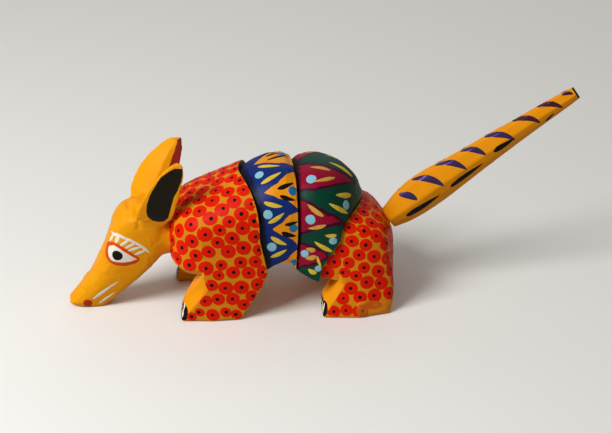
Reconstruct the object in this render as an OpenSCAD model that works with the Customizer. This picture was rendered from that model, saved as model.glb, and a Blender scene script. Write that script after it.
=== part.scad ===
// Carved and painted wooden armadillo. Millimetres, Z up, nose towards -X, tail towards +X.

/* [Body] */
// How square the back is in section: 2 is round, larger is boxier
back_squareness = 2.7; // [2.2:0.1:3.4]
// Steps of a section over the back, on one side
back_steps = 9; // [6:1:12]
// Sections added between neighbouring sections of a band
band_steps = 2; // [1:1:3]

/* [Head] */
// How square the head is in section, at the front
head_squareness = 2.7; // [2.2:0.1:3.4]
// How square the head is in section, at the cheeks
cheek_squareness = 4.2; // [3:0.1:5]
// Sides of a head section
head_sides = 28; // [20:4:40]
// Diameter of the neck stub
neck_d = 16.4; // [14:0.1:17]
// Height of the neck stub above the ground
neck_z = 26.4; // [25.5:0.1:27]

/* [Tail] */
// Length of the tail from its root to the cut tip
tail_length = 79.5; // [70:0.1:84]
// Angle of the tail above the ground
tail_rise = 33.7; // [31:0.1:36]
// Gap between the tail's root and its flat seat on the rump
tail_gap = 0.2; // [0.1:0.05:0.4]

/* [Pegs] */
// Diameter of the tail peg
tail_peg_d = 4; // [3.5:0.1:4.4]
// Depth of the tail peg in the rump, and in the tail
tail_peg_depth = 12; // [10:0.5:13]
// Diameter of the neck peg
neck_peg_d = 6; // [5:0.1:7]
// Depth of the neck peg in the body, and in the head
neck_peg_depth = 11; // [8:0.5:12]
// Diameter of an ear peg
ear_peg_d = 1.8; // [1.5:0.1:2.2]
// Depth of an ear peg in the head, and in the ear
ear_peg_depth = 5; // [4:0.5:6]
// Radial clearance of the tail peg
peg_clearance = 0.05; // [0.03:0.01:0.08]
// Glue line round a glued peg
glue_line = 0.03; // [0.02:0.01:0.05]

/* [Hidden] */
$fn = 48;

// Columns of a body section: x at the back's ridge, side, knee and sole, then z at the same four,
// half widths at the side, knee and sole, half width inside the leg, and the belly's z
shield_sections = [
  [-54.3, -54.5, -54.5, -54.5, 34.9, 27.0, 20.5, 17.6, 8.4, 7.6, 5.0, 3.4, 17.2],
  [-50.4, -52.4, -54.4, -54.2, 37.2, 28.0, 19.6, 16.8, 12.6, 13.0, 10.4, 8.0, 16.6],
  [-47.8, -49.2, -50.8, -50.6, 39.4, 29.0, 19.0, 16.4, 16.2, 16.4, 14.6, 10.6, 16.4],
  [-44.6, -44.6, -43.8, -43.7, 41.2, 30.0, 20.0, 17.4, 18.6, 19.0, 18.2, 11.0, 16.6],
  [-44.0, -44.0, -43.0, -50.2, 41.5, 30.0, 13.6, 6.0, 18.8, 19.4, 14.2, 11.0, 16.7],
  [-43.4, -43.2, -42.2, -51.8, 41.8, 30.0, 12.0, 0.0, 18.9, 19.6, 18.6, 11.0, 16.8],
  [-37.0, -36.0, -35.8, -40.5, 44.7, 30.0, 12.0, 0.0, 19.6, 19.9, 20.2, 11.2, 17.2],
  [-32.2, -29.0, -28.4, -31.2, 47.2, 30.0, 10.0, 0.0, 19.8, 20.0, 20.0, 11.5, 18.0],
  [-30.5, -25.8, -23.9, -23.2, 48.2, 30.0, 14.5, 12.4, 19.8, 19.9, 19.6, 12.0, 18.6],
  [-29.4, -23.8, -21.6, -21.3, 48.7, 30.0, 19.5, 17.0, 19.7, 19.8, 19.4, 12.4, 19.0]];
front_band_sections = [
  [-29.4, -23.8, -21.6, -21.3, 46.9, 30.0, 20.5, 17.4, 17.8, 17.8, 17.2, 12.4, 19.2],
  [-24.8, -20.6, -19.0, -18.8, 49.4, 30.0, 21.5, 19.2, 18.4, 18.3, 17.6, 12.4, 19.8],
  [-19.6, -17.2, -16.4, -16.2, 51.2, 30.0, 22.2, 20.2, 18.7, 18.6, 18.0, 12.4, 20.2],
  [-15.0, -13.9, -13.8, -13.8, 51.6, 30.0, 22.3, 20.0, 18.8, 18.6, 18.0, 12.4, 20.2],
  [-10.2, -10.5, -11.1, -11.2, 50.0, 30.0, 20.6, 17.4, 18.6, 18.5, 17.9, 12.4, 19.6]];
rear_band_sections = [
  [-10.2, -10.5, -11.1, -11.2, 48.2, 30.0, 20.2, 16.9, 17.0, 17.0, 16.6, 12.2, 18.9],
  [-6.0, -8.6, -9.9, -10.2, 50.2, 30.0, 20.0, 16.1, 18.2, 18.2, 17.6, 12.2, 18.5],
  [-1.0, -6.2, -8.5, -9.0, 50.8, 30.0, 19.8, 15.4, 19.0, 19.0, 18.4, 12.2, 18.0],
  [4.0, -3.6, -7.0, -7.7, 49.8, 30.0, 19.6, 14.7, 19.5, 19.6, 19.0, 12.2, 17.6],
  [8.6, -0.8, -5.5, -6.4, 47.2, 29.6, 19.4, 14.0, 19.8, 20.0, 19.4, 12.2, 17.2],
  [12.0, 1.8, -4.0, -5.0, 43.2, 29.0, 19.2, 13.3, 19.9, 20.2, 19.7, 12.2, 16.8],
  [14.2, 4.0, -2.5, -3.5, 37.8, 28.4, 18.8, 12.8, 19.8, 20.3, 20.0, 12.2, 16.4]];
rump_sections = [
  [14.2, 4.0, -2.5, -3.5, 35.8, 27.6, 19.0, 14.4, 18.3, 18.8, 18.5, 12.2, 16.4],
  [15.4, 7.2, 3.6, 4.0, 35.0, 27.0, 16.4, 12.4, 19.2, 19.9, 19.6, 12.6, 16.4],
  [15.7, 7.8, 4.4, -1.6, 34.8, 27.0, 12.4, 6.2, 19.3, 20.4, 15.6, 13.0, 16.4],
  [16.0, 8.4, 5.0, -2.6, 34.6, 27.0, 11.4, 0.0, 19.4, 20.8, 22.2, 13.0, 16.4],
  [18.2, 13.2, 11.2, 10.0, 33.0, 26.0, 11.0, 0.0, 19.7, 21.2, 24.0, 13.0, 16.4],
  [20.6, 18.2, 19.2, 20.8, 30.8, 25.0, 9.5, 0.0, 19.0, 20.4, 21.8, 13.0, 16.4],
  [22.0, 20.2, 22.0, 22.8, 28.7, 24.0, 12.0, 6.2, 17.8, 18.9, 18.9, 12.4, 16.2],
  [23.4, 22.4, 23.2, 23.6, 26.6, 23.0, 15.6, 12.6, 13.2, 13.6, 12.4, 8.0, 15.6],
  [24.2, 24.2, 24.4, 24.4, 25.2, 21.4, 17.4, 15.6, 8.0, 7.4, 5.4, 3.0, 15.8]];

// Columns of a head section: z, front x, back x, half width
head_sections = [
  [0.0, -90.0, -77.0, 4.3],
  [3.0, -88.5, -73.4, 5.0],
  [7.0, -86.2, -68.8, 5.7],
  [13.0, -82.6, -62.8, 6.8],
  [18.5, -79.4, -58.4, 7.8],
  [22.0, -77.3, -57.0, 8.5],
  [27.0, -74.9, -55.9, 9.3],
  [32.0, -72.3, -55.4, 9.7],
  [36.0, -70.2, -55.5, 9.4],
  [39.0, -68.4, -56.4, 8.0],
  [41.0, -66.0, -58.2, 5.4]];

// Columns of an ear section: z, front x, rear x, then distances from the middle of its front edge,
// rear outer edge and rear inner edge
ear_sections = [
  [31.0, -65.4, -56.4, 7.8, 8.0, 3.4],
  [34.0, -66.4, -54.2, 9.8, 10.0, 3.8],
  [37.0, -65.9, -52.8, 11.0, 11.2, 4.3],
  [41.0, -64.5, -51.6, 11.8, 11.8, 4.9],
  [45.0, -62.6, -50.4, 12.2, 12.1, 5.4],
  [49.0, -60.1, -49.5, 12.4, 12.3, 6.2],
  [52.6, -57.3, -49.0, 12.4, 12.4, 7.2],
  [54.9, -54.8, -49.0, 12.4, 12.4, 8.4],
  [56.4, -52.6, -49.2, 12.2, 12.4, 10.0]];
ear_peg_at = [-59.4, 6.0, 31.0];

// Columns of a tail section: share of the length, half height, half width, and rise above the peg's line
tail_sections = [
  [0, 3.7, 3.2, -0.5],
  [0.1, 5.7, 4.8, 0.1],
  [0.17, 6.2, 5.2, 0.4],
  [0.24, 6.2, 5.2, 0.5],
  [0.34, 5.6, 4.7, 0.5],
  [0.5, 4.8, 3.9, 0.6],
  [0.65, 4.0, 3.3, 0.7],
  [0.81, 3.2, 2.7, 0.6],
  [0.96, 2.5, 2.1, 0.4],
  [1.0, 2.1, 1.8, 0.4]];
tail_seat = [23.23, 0, 26.82];

// Point between two points
function mix(a, b, t) = a + (b - a) * t;

// Point of the curve through b and c, with a and d as its neighbours
function bend(a, b, c, d, t) =
  0.5 * (2 * b + (c - a) * t + (2 * a - 5 * b + 4 * c - d) * t * t + (3 * b - a - 3 * c + d) * t * t * t);

// Sections of a band with others put between them on a smooth curve
function smooth(rows) = let (last = len(rows) - 1) concat(
  [for (i = [0 : last - 1]) for (j = [0 : band_steps])
    bend(rows[max(i - 1, 0)], rows[i], rows[i + 1], rows[min(i + 2, last)], j / (band_steps + 1))],
  [rows[last]]);

// Power of a sine or cosine that keeps its sign
function round_off(v, n) = sign(v) * pow(abs(v), 2 / n);

// One side of a body section, from the ridge over the side and the leg to the middle of the belly
function half_section(r) = let (
  side = [r[1], r[8], r[5]],
  knee = [r[2], r[9], r[6]],
  sole = [r[3], r[10], r[7]],
  inner_sole = [r[3], r[11], r[7]],
  groin = [r[2], r[11] - 0.6, r[12]],
  belly = [r[2], 0, r[12]])
  concat(
    [for (j = [0 : back_steps]) let (
      s = round_off(sin(90 * j / back_steps), back_squareness),
      c = round_off(cos(90 * j / back_steps), back_squareness))
      [mix(r[0], r[1], pow(s, 1.5)), r[8] * s, r[5] + (r[4] - r[5]) * c]],
    [for (j = [1 : 3]) mix(side, knee, j / 3)],
    [for (j = [1 : 3]) mix(knee, sole, j / 3)],
    [for (j = [1 : 2]) mix(sole, inner_sole, j / 2)],
    [for (j = [1 : 3]) mix(inner_sole, groin, j / 3)],
    [for (j = [1 : 2]) mix(groin, belly, j / 2)]);

function body_ring(r) = let (h = half_section(r), last = len(h) - 1)
  concat(h, [for (j = [last - 1 : -1 : 1]) [h[j][0], -h[j][1], h[j][2]]]);

function head_ring(r) = [for (k = [0 : head_sides - 1]) let (
  a = 360 * k / head_sides,
  n = cos(a) > 0 ? head_squareness : cheek_squareness) [
  (r[1] + r[2]) / 2 - (r[2] - r[1]) / 2 * round_off(cos(a), n), r[3] * round_off(sin(a), n), r[0]]];

// Seven points round an ear: flat outer face, blunt front edge, rounded inner face, slanted rear
function ear_ring(r, side) = let (
  outer = [for (p = [
    [r[1], r[3] - 0.5], [r[1] + 0.5, r[3]], [r[2] - 0.2, r[4]], [r[2], r[4] - 0.4],
    [mix(r[1], r[2], 0.7), r[5]], [mix(r[1], r[2], 0.45), r[5] - 0.1], [mix(r[1], r[2], 0.16), mix(r[3], r[5], 0.55)]])
    [p[0], side * p[1], r[0]]])
  side > 0 ? outer : [for (k = [6 : -1 : 0]) outer[k]];

// Eight points round the tail, seen along it: flat top, flat sides and bevels between them
function tail_ring(r) = [for (p = [
  [1, -0.42], [0.45, -1], [-0.45, -1], [-1, -0.42], [-1, 0.42], [-0.45, 1], [0.45, 1], [1, 0.42]])
  [r[1] * p[0] - r[3], r[2] * p[1], tail_gap + r[0] * (tail_length - tail_gap)]];

// Closed solid through rings of equal length, which run clockwise as seen along their order
module loft(rings) {
  n = len(rings[0]);
  last = len(rings) - 1;
  polyhedron(
    points = [for (r = rings) each r],
    faces = concat(
      [[for (k = [n - 1 : -1 : 0]) k]],
      [for (i = [0 : last - 1]) for (k = [0 : n - 1]) let (a = i * n + k, b = i * n + (k + 1) % n)
        each [[a, b, b + n], [a, b + n, a + n]]],
      [[for (k = [0 : n - 1]) last * n + k]]));
}

// Places a child that runs along +Z on the tail's axis, with its origin at the seat
module on_tail_axis() {
  translate(tail_seat) rotate([0, 90 - tail_rise, 0]) children();
}

// Places a child that runs along +Z on the neck's axis, with its origin at the joint
module on_neck_axis() {
  translate([shield_sections[0][1], 0, neck_z]) rotate([0, 90, 0]) children();
}

module body_block() {
  loft([for (r = concat(
    shield_sections, smooth(front_band_sections), smooth(rear_band_sections), rump_sections)) body_ring(r)]);
}

module ear_block(side) {
  loft([for (r = ear_sections) ear_ring(r, side)]);
}

module ear_peg(side, d) {
  translate([ear_peg_at[0], side * ear_peg_at[1], ear_peg_at[2] - ear_peg_depth])
    cylinder(d = d, h = 2 * ear_peg_depth);
}

module body() {
  color("orange") difference() {
    body_block();
    on_neck_axis() translate([0, 0, -1]) cylinder(d = neck_peg_d + 2 * glue_line, h = neck_peg_depth + 1);
    on_tail_axis() translate([0, 0, -tail_peg_depth])
      cylinder(d = tail_peg_d + 2 * peg_clearance, h = tail_peg_depth + 1);
  }
}

module head() {
  color("goldenrod") difference() {
    union() {
      loft([for (r = head_sections) head_ring(r)]);
      on_neck_axis() translate([0, 0, -10]) cylinder(d = neck_d, h = 10);
    }
    ear_block(1);
    ear_block(-1);
    on_neck_axis() translate([0, 0, -neck_peg_depth])
      cylinder(d = neck_peg_d + 2 * glue_line, h = neck_peg_depth + 1);
    ear_peg(1, ear_peg_d + 2 * glue_line);
    ear_peg(-1, ear_peg_d + 2 * glue_line);
  }
}

module ear(side) {
  difference() {
    ear_block(side);
    ear_peg(side, ear_peg_d + 2 * glue_line);
  }
}

module ear_left() {
  color("darkorange") ear(-1);
}

module ear_right() {
  color("darkorange") ear(1);
}

module tail() {
  color("gold") on_tail_axis() difference() {
    loft([for (r = tail_sections) tail_ring(r)]);
    translate([0, 0, -1]) cylinder(d = tail_peg_d + 2 * peg_clearance, h = tail_peg_depth + 1);
  }
}

module neck_dowel() {
  color("tan") on_neck_axis() translate([0, 0, -neck_peg_depth])
    cylinder(d = neck_peg_d, h = 2 * neck_peg_depth);
}

module tail_dowel() {
  color("tan") on_tail_axis() translate([0, 0, -tail_peg_depth])
    cylinder(d = tail_peg_d, h = 2 * tail_peg_depth);
}

module ear_peg_left() {
  color("tan") ear_peg(-1, ear_peg_d);
}

module ear_peg_right() {
  color("tan") ear_peg(1, ear_peg_d);
}

body();
head();
ear_left();
ear_right();
tail();
neck_dowel();
tail_dowel();
ear_peg_left();
ear_peg_right();
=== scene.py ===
"""Looks of a small carved and painted wooden armadillo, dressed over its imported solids."""

import math
from contextlib import contextmanager

import bmesh
import bpy
import numpy as np
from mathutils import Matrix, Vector
from mathutils.bvhtree import BVHTree
from mathutils.kdtree import KDTree


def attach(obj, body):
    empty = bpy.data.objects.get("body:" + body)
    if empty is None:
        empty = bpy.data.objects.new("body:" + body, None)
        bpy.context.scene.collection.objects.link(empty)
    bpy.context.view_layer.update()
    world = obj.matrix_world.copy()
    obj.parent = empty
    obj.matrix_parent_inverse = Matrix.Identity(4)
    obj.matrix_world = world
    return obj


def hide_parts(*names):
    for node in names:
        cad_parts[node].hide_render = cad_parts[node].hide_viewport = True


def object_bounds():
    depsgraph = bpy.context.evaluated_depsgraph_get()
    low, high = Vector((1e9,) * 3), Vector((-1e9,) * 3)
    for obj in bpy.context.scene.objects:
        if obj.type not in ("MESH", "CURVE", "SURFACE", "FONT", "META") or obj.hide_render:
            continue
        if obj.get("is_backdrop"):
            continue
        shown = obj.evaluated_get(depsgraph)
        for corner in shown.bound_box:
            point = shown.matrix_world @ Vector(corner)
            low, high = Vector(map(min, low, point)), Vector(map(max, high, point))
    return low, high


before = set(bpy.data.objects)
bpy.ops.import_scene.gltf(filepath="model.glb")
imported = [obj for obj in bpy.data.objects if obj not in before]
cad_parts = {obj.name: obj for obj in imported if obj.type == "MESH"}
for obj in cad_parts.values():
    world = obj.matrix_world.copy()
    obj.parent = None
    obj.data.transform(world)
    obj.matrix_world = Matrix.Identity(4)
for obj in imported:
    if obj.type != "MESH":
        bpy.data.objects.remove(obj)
cad_low, cad_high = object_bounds()

MM = 0.001

# Columns of a body section, in mm: x at ridge, side, knee and sole, z at the same four,
# half widths at side, knee and sole, half width inside the leg, belly z
SHIELD = [
    [-54.3, -54.5, -54.1, -53.0, 34.9, 27.0, 21.2, 18.4, 8.4, 7.6, 5.0, 3.4, 17.8],
    [-50.4, -52.4, -52.9, -51.6, 37.2, 28.0, 20.4, 17.4, 12.6, 13.0, 10.4, 8.0, 17.0],
    [-47.8, -49.2, -50.0, -48.4, 39.4, 29.0, 19.0, 16.4, 16.2, 16.4, 14.6, 10.6, 16.4],
    [-44.6, -44.6, -43.8, -43.7, 41.2, 30.0, 20.0, 17.4, 18.6, 19.0, 18.2, 11.0, 16.6],
    [-44.0, -44.0, -43.0, -50.2, 41.5, 30.0, 13.6, 6.0, 18.8, 19.4, 14.2, 11.0, 16.7],
    [-43.4, -43.2, -42.2, -51.8, 41.8, 30.0, 12.0, 0.0, 18.9, 19.6, 18.6, 11.0, 16.8],
    [-37.0, -36.0, -35.8, -40.5, 44.7, 30.0, 12.0, 0.0, 19.6, 19.9, 20.2, 11.2, 17.2],
    [-32.2, -29.0, -28.4, -31.2, 47.2, 30.0, 10.0, 0.0, 19.8, 20.0, 20.0, 11.5, 18.0],
    [-30.5, -25.8, -23.9, -23.2, 48.2, 30.0, 14.5, 12.4, 19.8, 19.9, 19.6, 12.0, 18.6],
    [-29.4, -23.8, -21.6, -21.3, 48.7, 30.0, 19.5, 17.0, 19.7, 19.8, 19.4, 12.4, 19.0],
]
FRONT_BAND = [
    [-29.4, -23.8, -21.6, -21.3, 46.9, 30.0, 20.5, 17.4, 17.8, 17.8, 17.2, 12.4, 19.2],
    [-24.8, -20.6, -19.0, -18.8, 49.4, 30.0, 21.5, 19.2, 18.4, 18.3, 17.6, 12.4, 19.8],
    [-19.6, -17.2, -16.4, -16.2, 51.2, 30.0, 22.2, 20.2, 18.7, 18.6, 18.0, 12.4, 20.2],
    [-15.0, -13.9, -13.8, -13.8, 51.6, 30.0, 22.3, 20.0, 18.8, 18.6, 18.0, 12.4, 20.2],
    [-10.2, -10.5, -11.1, -11.2, 50.0, 30.0, 20.6, 17.4, 18.6, 18.5, 17.9, 12.4, 19.6],
]
REAR_BAND = [
    [-10.2, -10.5, -11.1, -11.2, 48.2, 30.0, 20.2, 16.9, 17.0, 17.0, 16.6, 12.2, 18.9],
    [-6.0, -8.6, -9.9, -10.2, 50.2, 30.0, 20.0, 16.1, 18.2, 18.2, 17.6, 12.2, 18.5],
    [-1.0, -6.2, -8.5, -9.0, 50.8, 30.0, 19.8, 15.4, 19.0, 19.0, 18.4, 12.2, 18.0],
    [4.0, -3.6, -7.0, -7.7, 49.8, 30.0, 19.6, 14.7, 19.5, 19.6, 19.0, 12.2, 17.6],
    [8.6, -0.8, -5.5, -6.4, 47.2, 29.6, 19.4, 14.0, 19.8, 20.0, 19.4, 12.2, 17.2],
    [12.0, 1.8, -4.0, -5.0, 43.2, 29.0, 19.2, 13.3, 19.9, 20.2, 19.7, 12.2, 16.8],
    [14.2, 4.0, -2.5, -3.5, 37.8, 28.4, 18.8, 12.8, 19.8, 20.3, 20.0, 12.2, 16.4],
]
RUMP = [
    [14.2, 4.0, -2.5, -3.5, 35.8, 27.6, 19.0, 14.4, 18.3, 18.8, 18.5, 12.2, 16.4],
    [15.4, 7.2, 3.6, 4.0, 35.0, 27.0, 16.4, 12.4, 19.2, 19.9, 19.6, 12.6, 16.4],
    [15.7, 7.8, 4.4, -1.6, 34.8, 27.0, 12.4, 6.2, 19.3, 20.4, 15.6, 13.0, 16.4],
    [16.0, 8.4, 5.0, -2.6, 34.6, 27.0, 11.4, 0.0, 19.4, 20.8, 22.2, 13.0, 16.4],
    [18.2, 13.2, 11.2, 10.0, 33.0, 26.0, 11.0, 0.0, 19.7, 21.2, 24.0, 13.0, 16.4],
    [20.6, 18.2, 19.2, 20.8, 30.8, 25.0, 9.5, 0.0, 19.0, 20.4, 21.8, 13.0, 16.4],
    [22.0, 20.2, 22.0, 22.8, 28.7, 24.0, 12.0, 6.2, 17.8, 18.9, 18.9, 12.4, 16.2],
    [23.4, 22.4, 23.2, 23.6, 26.6, 23.0, 15.6, 12.6, 13.2, 13.6, 12.4, 8.0, 15.6],
    [24.2, 24.2, 24.4, 24.4, 25.2, 21.4, 17.4, 15.6, 8.0, 7.4, 5.4, 3.0, 15.8],
]
SHIELD_STEPS = [6, 7, 9, 14, 9, 12, 11, 14, 8]
FRONT_BAND_STEPS = [9, 10, 9, 10]
REAR_BAND_STEPS = [9, 9, 9, 9, 9, 9]
RUMP_STEPS = [8, 11, 9, 13, 12, 9, 13, 9]
# Points along each part of half a section
SECTION_STEPS = [44, 14, 22, 9, 16, 10]
BACK, FLANK, LEG, SOLE, INSIDE, BELLY = range(6)
BACK_SQUARENESS = 2.7
BACK_SLANT = 1.5
INSIDE_LEAN = 0.6
SOLE_LIFT = 0.06
CLAW_TOP = 4.7
# Columns of a section that belong to the legs
LEG_COLUMNS = (2, 3, 6, 7, 9, 10, 11)
# The paints of the body's faces, by slot
SHELL, FRONT, REAR, PLAIN, CLAWS, RIM = range(6)
# Marks of the rings that make the step under a stretch's rear rim, and how far the last one is tucked in
RIM_STEP = 98
RIM_UNDER = 99
TUCKED_IN = 0.35
TUCKED_FORWARD = 0.5
TRUNK_Z = 30.0
# Whittled facets: how many at most, how many are near a point, how alike they must face,
# how uneven and how deep they are, how far the surface sinks for them, and the mark for none
MOST_FACETS = 1500
NEAR_FACETS = 4
SAME_WAY = 0.75
FACET_TILT = 0.03
FACET_DEPTH = 0.25
FACET_SINK = 0.4
NO_FACET = 9.0
# Points worked on at a time
BATCH = 4000
# Shares by which an end's rings shrink towards its middle
CLOSING_SHARES = (0.8, 0.6, 0.4, 0.2)

# Columns of a head section: z, front x, back x, half width
HEAD = [
    [0.0, -88.0, -77.0, 4.3],
    [1.6, -90.8, -75.2, 4.6],
    [3.0, -89.4, -73.4, 5.0],
    [7.0, -86.4, -68.8, 5.7],
    [13.0, -81.8, -62.4, 6.8],
    [18.5, -79.1, -57.2, 7.8],
    [22.0, -77.3, -55.6, 8.5],
    [27.0, -75.3, -55.3, 9.3],
    [32.0, -73.6, -55.4, 9.7],
    [35.2, -71.5, -55.5, 9.0],
    [37.2, -68.9, -56.4, 7.0],
    [38.9, -65.0, -58.2, 4.2],
]
HEAD_STEPS = [5, 4, 6, 9, 8, 6, 7, 7, 6, 5, 5]
# Points round a ring of the head, neck and ear, and the size of the grain in which they are joined
HEAD_POINTS = 96
NECK_POINTS = 64
EAR_POINTS = 56
HEAD_GRAIN = 0.36
# Pull and push back of one round of softening
SOFTEN_PULL = 0.5
SOFTEN_PUSH = 0.53
NECK_D = 16.4
NECK_Z = 26.4
NECK_X = -54.5
NECK_START = -68
NECK_OVERLAP = 1.2
HEAD_SQUARENESS = 2.7
CHEEK_SQUARENESS = 4.2

# Columns of an ear section: z, front x, rear x, then distances from the middle of the front edge,
# rear outer edge and rear inner edge
EAR = [
    [31.0, -65.4, -56.4, 7.8, 8.0, 3.4],
    [34.0, -66.4, -54.2, 9.8, 10.0, 3.8],
    [37.0, -65.9, -52.8, 11.0, 11.2, 4.3],
    [41.0, -64.5, -51.6, 11.8, 11.8, 4.9],
    [45.0, -62.6, -50.4, 12.2, 12.1, 5.4],
    [49.0, -60.1, -49.5, 12.4, 12.3, 6.2],
    [52.6, -57.3, -49.0, 12.4, 12.4, 7.2],
    [54.9, -54.8, -49.0, 12.4, 12.4, 8.4],
    [56.4, -52.6, -49.2, 12.2, 12.4, 10.0],
]
EAR_STEPS = [5, 5, 6, 7, 7, 7, 5, 4]

# The far ear is a little wider than the near one, in front and at the upper back
FAR_EAR_WIDER = 1.4
FAR_EAR_DEEPER = 1.0
FAR_EAR_TOP = 55.0
FAR_EAR_FOOT = 40.0
# The ears and the side each is on
EARS = (("ear_left", -1), ("ear_right", 1))
# Where the saw parts an ear from the head, and the way its cut faces
EAR_CUT_AT = np.array([-60.0, 6.0, 36.0])
EAR_CUT_WAY = np.array([0.2, 0.75, 0.63])

# Columns of a tail section: share of the length, half height, half width, rise above the peg's line
TAIL = [
    [0, 3.7, 3.2, -0.5],
    [0.1, 5.7, 4.8, 0.1],
    [0.17, 6.2, 5.2, 0.4],
    [0.24, 6.2, 5.2, 0.5],
    [0.34, 5.6, 4.7, 0.5],
    [0.5, 4.8, 3.9, 0.6],
    [0.65, 4.0, 3.3, 0.7],
    [0.81, 3.2, 2.7, 0.6],
    [0.96, 2.5, 2.1, 0.4],
    [1.0, 2.1, 1.8, 0.4],
]
TAIL_STEPS = [10, 8, 8, 10, 14, 13, 14, 13, 4]
# Corners of a tail section, as shares of its half height and half width
TAIL_CORNERS = [
    (1, -0.42), (0.12, -1), (-0.45, -0.84), (-1, -0.4),
    (-1, 0.4), (-0.45, 0.84), (0.12, 1), (1, 0.42), (1, -0.42)]
TAIL_SIDE_STEPS = 7
TAIL_SEAT = np.array([23.23, 0.0, 26.82])
TAIL_RISE = math.radians(33.7)
TAIL_ALONG = np.array([math.cos(TAIL_RISE), 0.0, math.sin(TAIL_RISE)])
TAIL_UP = np.array([-math.sin(TAIL_RISE), 0.0, math.cos(TAIL_RISE)])
TAIL_LENGTH = 79.5
TAIL_GAP = 0.2
TAIL_TIP = 0.9
# Bores for the tail's peg, a little wider and deeper than the peg
PEG_D = 4.1
PEG_DEPTH = 12.3

# The camera: how far round, how high, how far away and at what it looks, in the photograph's frame
FRAME_SIZE = (612, 433)
CAMERA_TARGET = np.array([-5.8, 0.0, 28.78])
CAMERA_ROUND = math.radians(-7)
CAMERA_HIGH = math.radians(26)
CAMERA_AWAY = 600.0
CAMERA_LENS = 100.0
SENSOR = 36.0


# Building meshes

def add_to_scene(name, data):
    """An object with the given mesh, lamp or camera, linked to the scene."""
    made = bpy.data.objects.new(name, data)
    bpy.context.scene.collection.objects.link(made)
    return made


def make_object(name, points, faces, slots=None):
    """A mesh object from points in mm and faces as point numbers."""
    mesh = bpy.data.meshes.new(name)
    mesh.from_pydata((np.asarray(points) * MM).tolist(), [], faces)
    if slots is not None:
        mesh.polygons.foreach_set("material_index", np.asarray(slots, np.int32))
    mesh.update()
    return add_to_scene(name, mesh)


@contextmanager
def opened(mesh):
    """A mesh laid open for cutting and mending, and closed again afterwards."""
    bm = bmesh.new()
    bm.from_mesh(mesh)
    yield bm
    bm.to_mesh(mesh)
    bm.free()
    mesh.update()


def turn_outwards(piece):
    with opened(piece.data) as bm:
        bmesh.ops.recalc_face_normals(bm, faces=bm.faces)
        if bm.calc_volume(signed=True) < 0:
            bmesh.ops.reverse_faces(bm, faces=bm.faces)


def with_modifiers(piece):
    """A new mesh of a piece, with its modifiers worked in."""
    bpy.context.view_layer.update()
    return bpy.data.meshes.new_from_object(piece.evaluated_get(bpy.context.evaluated_depsgraph_get()))


def settle(piece):
    """Makes the piece's modifiers part of its mesh."""
    old = piece.data
    piece.data = with_modifiers(piece)
    piece.modifiers.clear()
    piece.data.name = piece.name
    bpy.data.meshes.remove(old)
    return piece


def rows_of(items, key):
    found = np.empty(len(items) * 3, np.float32)
    items.foreach_get(key, found)
    return found.reshape(-1, 3).astype(float)


def vertex_places(piece):
    return rows_of(piece.data.vertices, "co") / MM


def vertex_normals(piece):
    return rows_of(piece.data.vertex_normals, "vector")


def move_vertices(piece, places):
    piece.data.vertices.foreach_set("co", (places * MM).astype(np.float32).ravel())
    piece.data.update()


def add_attribute(mesh, name, values, kind="FLOAT"):
    made = mesh.attributes.new(name, kind, "POINT")
    made.data.foreach_set("value" if kind == "FLOAT" else "vector", np.asarray(values, np.float32).ravel())


def surface_of(piece):
    piece.data.calc_loop_triangles()
    triangles = [tuple(t.vertices) for t in piece.data.loop_triangles]
    return BVHTree.FromPolygons([Vector(p) for p in vertex_places(piece)], triangles)


def eased(rows, steps, straight=(), cuts=()):
    """Sections between the given ones, curving gently without overshooting, and how far along each lies.

    In the stretches named as cuts, the columns named as straight run straight.
    """
    rows = np.array(rows, float)
    gaps = np.diff(rows, axis=0)
    slopes = np.zeros_like(rows)
    slopes[0] = gaps[0]
    slopes[-1] = gaps[-1]
    total = gaps[:-1] + gaps[1:]
    total[np.abs(total) < 1e-9] = 1e-9
    slopes[1:-1] = np.where(gaps[:-1] * gaps[1:] > 0, 2 * gaps[:-1] * gaps[1:] / total, 0)
    cut = np.zeros(rows.shape[1], bool)
    cut[list(straight)] = True
    found = []
    shares = []
    for k, count in enumerate(steps):
        for i in range(count):
            t = i / count
            curve = ((1 + 2 * t) * (1 - t) ** 2 * rows[k] + t * (1 - t) ** 2 * slopes[k]
                     + t * t * (3 - 2 * t) * rows[k + 1] + t * t * (t - 1) * slopes[k + 1])
            found.append(np.where(cut & (k in cuts), rows[k] + gaps[k] * t, curve))
            shares.append((k + t) / len(steps))
    found.append(rows[-1])
    shares.append(1.0)
    return np.array(found), np.array(shares)


def evenly(line, count):
    """Points at equal distances along a line of points, without its first."""
    run = np.concatenate([[0], np.cumsum(np.linalg.norm(np.diff(line, axis=0), axis=1))])
    at = np.linspace(0, run[-1], count + 1)[1:]
    return np.stack([np.interp(at, run, line[:, k]) for k in range(3)], 1)


def turns(count):
    """Angles of equal steps round a circle."""
    return np.linspace(0, 2 * math.pi, count + 1)[:-1]


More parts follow.
